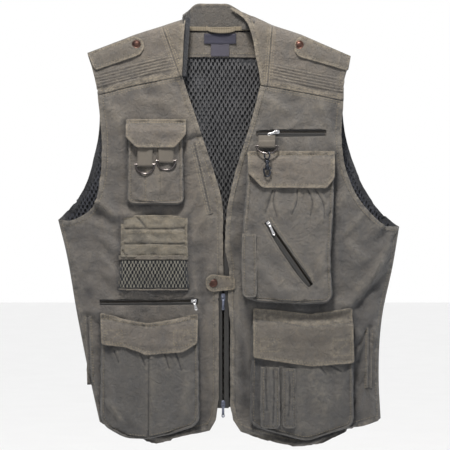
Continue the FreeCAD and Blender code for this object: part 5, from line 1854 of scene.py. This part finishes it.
def tooth(zip_line, along, side, wide_by):
    """A moulded tooth: a narrow head, a waist and a base clamped on the cord."""
    outline = [(-0.35, 0.6), (-0.75, 1.0), (-0.6, 1.7), (-0.8, 2.5), (0.8, 2.5), (0.6, 1.7), (0.75, 1.0),
               (0.35, 0.6)]
    levels = [(-2.3, 0.85), (-2.1, 1.0), (-0.35, 1.0), (-0.1, 0.78)]
    middle = 1.55
    points = []
    for out, scale in levels:
        for a, c in outline:
            points.append((along + a * scale, side * wide_by * (middle + (c - middle) * scale), out))
    return zip_line.put(points), skin(len(levels), len(outline), turned=side > 0)


def teeth(zip_line, wide_by=1.0):
    """Two rows of teeth, half a pitch apart."""
    meshes = []
    for index in range(int((zip_line.length - TOOTH_PITCH) / TOOTH_PITCH)):
        for side in (-1, 1):
            along = TOOTH_PITCH * (index + 0.5 + 0.25 * side) + 0.8
            meshes.append(tooth(zip_line, along, side, wide_by))
    return merged(meshes)


def slab(outline, levels):
    """An outline stacked at several heights, each with its own scale: (out, scale)."""
    outline = np.array(outline, float)
    middle = (outline.max(0) + outline.min(0)) / 2
    points = []
    for out, scale in levels:
        points += [(a, c, out) for a, c in middle + (outline - middle) * scale]
    return np.array(points), skin(len(levels), len(outline))


def slider(zip_line, along, pull_angle, long=9.0):
    """A slider: two shaped plates joined by a post, side flanges, and a bail for the pull."""
    half = long / 2
    shape = [(-half, -1.9), (-half * 0.72, -3.3), (0.0, -3.6), (half * 0.7, -3.1), (half, -2.2), (half, 2.2),
             (half * 0.7, 3.1), (0.0, 3.6), (-half * 0.72, 3.3), (-half, 1.9)]
    plates = [slab(shape, [(0.3, 0.96), (0.5, 1.0), (1.0, 1.0), (1.3, 0.86)]),
              slab(shape, [(-3.8, 0.9), (-3.5, 1.0), (-3.0, 1.0), (-2.8, 0.96)])]
    post = slab([(-1.4, -0.33), (1.4, -0.33), (1.4, 0.33), (-1.4, 0.33)], [(-3.0, 1.0), (0.6, 1.0)])
    meshes = []
    for points, faces in plates + [post]:
        moved = points + np.array([along, 0, 0])
        meshes.append((zip_line.put(moved), faces))
    turn = math.radians(pull_angle)
    ahead = np.array([math.cos(turn), math.sin(turn)])
    middle = zip_line.start + along * zip_line.ahead
    base = zip_line.plane(middle[None, :])[0]
    arch = []
    for a, out in ((-2.3, 0.9), (-2.4, 2.4), (-1.9, 3.9), (-0.8, 4.5), (0.8, 4.5), (1.9, 3.9), (2.4, 2.4),
                   (2.3, 0.9)):
        flat = middle + a * ahead
        arch.append((flat[0], base - out, flat[1]))
    meshes.append(tube(spline3(arch, 3), 0.55, 10))
    points, faces = merged(meshes)
    return points, faces


def pull(zip_line, along, pull_angle, length):
    """A pull tab: a bar in the bail, a window, a waist and a rounded end with a hole."""
    sides = [(-1.0, 1.9), (-0.8, 2.4), (4.6, 2.5), (6.0, 1.9), (length - 6, 2.0), (length - 3.4, 2.6),
             (length - 1.4, 2.4), (length - 0.3, 1.3)]
    outline = np.array([(a, -c) for a, c in sides] + [(length, 0.0)] + [(a, c) for a, c in reversed(sides)])
    window = np.array([(0.5, -1.4), (4.0, -1.4), (4.3, 0.0), (4.0, 1.4), (0.5, 1.4)])
    eighths = [k * math.pi / 4 for k in range(8)]
    hole = np.array([(length - 3.0 + 1.1 * math.cos(angle), 1.1 * math.sin(angle)) for angle in eighths])
    flat, faces = cut(ring(straight([tuple(p) for p in outline] + [tuple(outline[0])], 1.2)), 1.3, (0.5,), (),
                      [window, hole])
    d = gap(flat, outline, closed=True)
    bulge = 0.35 * np.sqrt(np.clip(d / 0.9, 0, 1))
    turn = math.radians(pull_angle)
    ahead, across = np.array([math.cos(turn), math.sin(turn)]), np.array([-math.sin(turn), math.cos(turn)])
    middle = zip_line.start + along * zip_line.ahead
    place = middle + flat[:, :1] * ahead + flat[:, 1:2] * across
    base = zip_line.plane(place if zip_line is SLANT else middle[None, :].repeat(len(place), 0))
    points = in_space(place, base - 3.0 - bulge - 0.25)
    return thicken(points, faces, 0.9)


def make_zips():
    """Every zip's tapes, teeth, sliders and pulls."""
    for side, name in ((1, "right"), (-1, "left")):
        points, faces = half_tape(FRONT_ZIP, side, side * 1.3)
        add(name + "_zip_tape", points, faces, ZIP_TAPE, "vest", (name + "_front_zip_tape",))
    for name, zip_line in (("waist_zip", WAIST), ("breast_zip", BREAST), ("slant_zip", SLANT)):
        points, faces = merged([half_tape(zip_line, side, side * 2.0) for side in (-1, 1)])
        replaced = ("pocket_zip_tapes",) if name == "waist_zip" else ()
        add(name + "_tapes", points, faces, ZIP_TAPE, "vest", replaced)
    points, faces = teeth(FRONT_ZIP, 1.7)
    add("front_zip_teeth", points, faces, BRASS, "vest", ("front_zip_teeth",), flat=True)
    points, faces = merged([teeth(zip_line) for zip_line in (WAIST, BREAST, SLANT)])
    add("pocket_zip_teeth", points, faces, BRASS, "vest", ("pocket_zip_teeth",), flat=True)
    for name, zip_line, along, angle, length, long in (
            ("top_slider", FRONT_ZIP, 178.0, -90.0, 21.0, 12.0),
            ("bottom_slider", FRONT_ZIP, 6.0, -90.0, 21.0, 12.0),
            ("waist_slider", WAIST, 152.0, -74.0, 16.0, 9.0),
            ("breast_slider", BREAST, 31.0, -160.0, 16.0, 9.0),
            ("slant_slider", SLANT, 7.0, -66.0, 21.0, 9.0)):
        material = SLIDER if zip_line is FRONT_ZIP else SILVER
        points, faces = slider(zip_line, along, angle, long)
        add(name, points, faces, material, name, (name,))
        points, faces = pull(zip_line, along, angle, length)
        add(name + "_pull", points, faces, material, name + "_pull", (name + "_pull",))


# ------------------------------------------------- mesh pocket, welts, bags ----

def make_mesh_pocket():
    """A net pocket below the card pockets: gathered along its bottom, bound along both edges."""
    outline = ring(straight([(-166, 300), (-170, 276), (-173, 252), (-57, 251), (-59, 276), (-62, 300),
                             (-166, 300)], 4))

    def stand(points):
        t = np.clip((302 - points[:, 1]) / 52, 0, 1)
        side = np.clip(np.minimum(points[:, 0] + 171, -59 - points[:, 0]) / 14, 0, 1)
        swell = (3.0 + 7.0 * np.sin(t * math.pi * 0.8)) * np.sqrt(side)
        return swell + 2.2 * rumple(points, 11.0, 4.4, (1.0, 0.25)) * side

    flat, faces = honeycomb(outline, 5.6, 5.4, 1.85, 3.6, 0.7)
    place = flat[:, :2]
    points = in_space(flat, front_y(place) - 1.6 - stand(place) - flat[:, 2])
    flat_size = (118.0, 62.0)
    piece = add("mesh_pocket", points, faces, POCKET_NET, "vest", ("mesh_pocket",))
    declare(flat_size, area_of(points, faces))
    # painted shade: a near-black sheet behind the net, seen through its openings
    backing, backing_faces = cut(outline, 5.0)
    y = front_y(backing) - 1.0 - 0.55 * np.maximum(stand(backing), 0)
    layer = in_space(backing, y)
    piece = add_cloth("mesh_pocket_shade_sheet", layer, backing_faces, 0.6, PAINTED_SHADE_CLOTH,
                      marks=unmarked(layer))
    declare(flat_size, area_of(layer, backing_faces))
    for name, h, width in (("mesh_pocket_top_band", 301.5, 7.0), ("mesh_pocket_bottom_band", 250.5, 2.4)):
        xs = np.linspace(-170, -59, 30)
        line = np.stack([xs, np.full(30, h)], axis=1)
        y = front_y(line) - 2.4 - stand(line) + 0.2
        path = np.stack([xs, y, h + 0.7 * rumple(line, 12.0, 3.3)], axis=1)
        points, faces = strap(path, width, 1.6, (0, 0, 1))
        # worn paleness and a little painted shade over the whole band
        marks = marks_of(np.full(len(points), 0.35), np.full(len(points), 0.1))
        add(name, points, faces, TWILL_TRIM, "vest", (), marks)


def make_welts():
    """The lips of the pockets that close without a zip showing, each along its slit."""
    slits = ((RIGHT_HAND_SLIT, 5.5, 1.0), (LEFT_HAND_SLIT, 5.5, 2.0), (HIDDEN_SLIT, 4.0, 3.0))
    for index, (line, half, seed) in enumerate(slits):
        middle = straight(line, 3.0)
        outline = ring(offset(middle, half), offset(middle, -half)[::-1])
        flat, faces = cut(outline, 2.2, (1.0,), [middle])
        across = gap(flat, middle)
        edge = gap(flat, outline, closed=True)
        raise_by = (1.5 * np.sqrt(np.clip(edge / 2.0, 0, 1)) - 1.4 * bump(across, 0.0, 0.9)
                    + 0.35 * rumple(flat, 9.0, seed))
        points = in_space(flat, front_y(flat) - raise_by)
        clear = lay_over(points, [RIGHT_TREE, LEFT_TREE], 0.3)
        points[:, 1] = np.minimum(points[:, 1], clear[:, 1] - 0.4 * raise_by)
        # painted shade in the slit between the lips, and worn lips beside it
        marks = marks_of(0.6 * bump(across, 1.8, 1.0), bump(across, 0.0, 0.8))
        tree = tree_of(points, faces)
        area = area_of(points, faces)
        replaced = ("pocket_welts",) if index == 0 else ()
        piece = add_cloth("pocket_welt_" + str(index + 1), points, faces, 1.0, TWILL_LEFT, stands_for=replaced,
                          marks=marks)
        declare(extent(outline) + 1, area, grows=False)
        sew("vest", offset(middle, half - 1.2), tree)
        sew("vest", offset(middle, 1.2 - half), tree)


def make_pocket_bags():
    """Thin cotton bags behind the two zips, inside the fronts."""
    for index, (x0, x1, low, high) in enumerate(((-206, -38, 130, 246), (48, 164, 400, 513))):
        outline = rounded([(x0, low), (x1, low), (x1, high), (x0, high)], 12.0, 4.0)
        flat, faces = cut(outline, 6.0, (3.0,), toward=1)
        edge = gap(flat, outline, closed=True)
        out = 0.6 + 4.2 * (1 - np.exp(-(edge / 12.0) ** 2)) + 0.7 * rumple(flat, 26.0, 2.0 + index)
        points = in_space(flat, front_y(flat) + 2.6 + out)
        replaced = ("pocket_bags",) if index == 0 else ()
        piece = add_cloth("pocket_bag_" + str(index + 1), points, faces, 0.7, TWILL_INSIDE, stands_for=replaced,
                          marks=unmarked(points))
        declare((x1 - x0, high - low), area_of(points, faces), grows=False)


# --------------------------------------------------------------- stitches ----

def make_stitches():
    """Every row of topstitching: one small spindle of thread for each stitch, lying on its cloth."""
    pitch, length, half, rise = 4.3, 3.0, 0.4, 0.42
    longest_step = 14.0          # a longer one is a gap that the row doesn't cross
    steepest = 2.5
    groups = {}
    for body, blend_at, line, tree, toward, colour in ROWS:
        steps = np.linalg.norm(np.diff(line, axis=0), axis=1)
        along = np.r_[0, np.cumsum(steps)]
        far = RAY_START * toward
        for start in np.arange(0.4, along[-1] - length, pitch):
            if steps[np.searchsorted(along, start) - 1] > longest_step:
                continue
            ends = []
            for s in (start, start + length):
                x, h = np.interp(s, along, line[:, 0]), np.interp(s, along, line[:, 1])
                hit = tree.ray_cast(Vector((x, far, h)), Vector((0, -toward, 0)))
                if hit[0] is not None:
                    ends.append(np.array([x, hit[0].y + toward * 0.05, h]))
            if len(ends) < 2 or abs(ends[0][1] - ends[1][1]) > steepest:
                continue
            a, b = ends
            ahead = (b - a) / np.linalg.norm(b - a)
            side = np.cross(ahead, (0, 1, 0)) * half
            middle = (a + b) / 2
            lift = np.array([0, toward * rise, 0])
            points, faces = groups.setdefault((body, blend_at, colour), ([], []))
            k = len(points)
            points += [a, b, middle + side + lift * 0.4, middle - side + lift * 0.4, middle + lift]
            faces += [(k, k + 2, k + 4), (k + 4, k + 2, k + 1), (k, k + 4, k + 3), (k + 4, k + 1, k + 3),
                      (k, k + 3, k + 2), (k + 1, k + 2, k + 3)]
    for (body, blend_at, colour), (points, faces) in groups.items():
        material = THREAD if colour == "light" else THREAD_DARK
        rides = None if blend_at else body
        piece = add("stitches_" + body + "_" + colour, np.array(points), faces, material, rides,
                    flat=True)
        if blend_at:
            bend(piece)


make_straps(YOKES)
make_ring_straps()
make_snap_hook()
make_zips()
make_mesh_pocket()
make_welts()
make_pocket_bags()
make_stitches()


# ------------------------------------------------------- stage and camera ----

def make_stage():
    """The floor, the white surroundings and two lights."""
    mesh = bpy.data.meshes.new("floor")
    low = cad_box[0][2] - 0.6
    half = 20.0
    mesh.from_pydata([(-half, -half, low), (half, -half, low), (half, half, low), (-half, half, low)], [],
                     [(0, 1, 2, 3)])
    floor = bpy.data.objects.new("floor", mesh)
    bpy.context.scene.collection.objects.link(floor)
    n = Nodes("floor_paper", roughness=0.8)
    n.colour(n.mix(n.noise(6.0, 3.0, 0.5), (0.86, 0.86, 0.86), (0.9, 0.9, 0.9)))
    mesh.materials.append(n.material)

    world = bpy.data.worlds.new("studio")
    world.use_nodes = True
    world.node_tree.nodes["Background"].inputs["Color"].default_value = (1.0, 1.0, 1.0, 1.0)
    world.node_tree.nodes["Background"].inputs["Strength"].default_value = 1.0
    bpy.context.scene.world = world

    for name, place, aim, size, power, colour in (
            ("top_light", (-0.16, -0.92, 1.02), (0.0, 0.0, -0.25), 0.3, 58.0, (1.0, 0.955, 0.89)),
            ("side_light", (1.5, -1.2, -0.4), (0.0, 0.0, -0.35), 1.0, 7.0, (0.72, 0.84, 1.0))):
        light = bpy.data.lights.new(name, "AREA")
        light.color = colour
        light.size = size
        light.energy = power
        lamp = bpy.data.objects.new(name, light)
        lamp.location = place
        lamp.rotation_euler = (Vector(aim) - Vector(place)).to_track_quat("-Z", "Y").to_euler()
        bpy.context.scene.collection.objects.link(lamp)


def make_camera():
    """A camera straight in front of the vest."""
    camera = bpy.data.cameras.new("camera")
    camera.sensor_width = 36.0
    camera.lens = 130.0
    camera.clip_end = 20.0
    view = bpy.data.objects.new("camera", camera)
    view.location = (0.006, -2.63, -0.3124)
    view.rotation_euler = (math.radians(90), 0, 0)
    bpy.context.scene.collection.objects.link(view)
    bpy.context.scene.camera = view
    bpy.context.scene.view_settings.view_transform = "Standard"


make_stage()
make_camera()
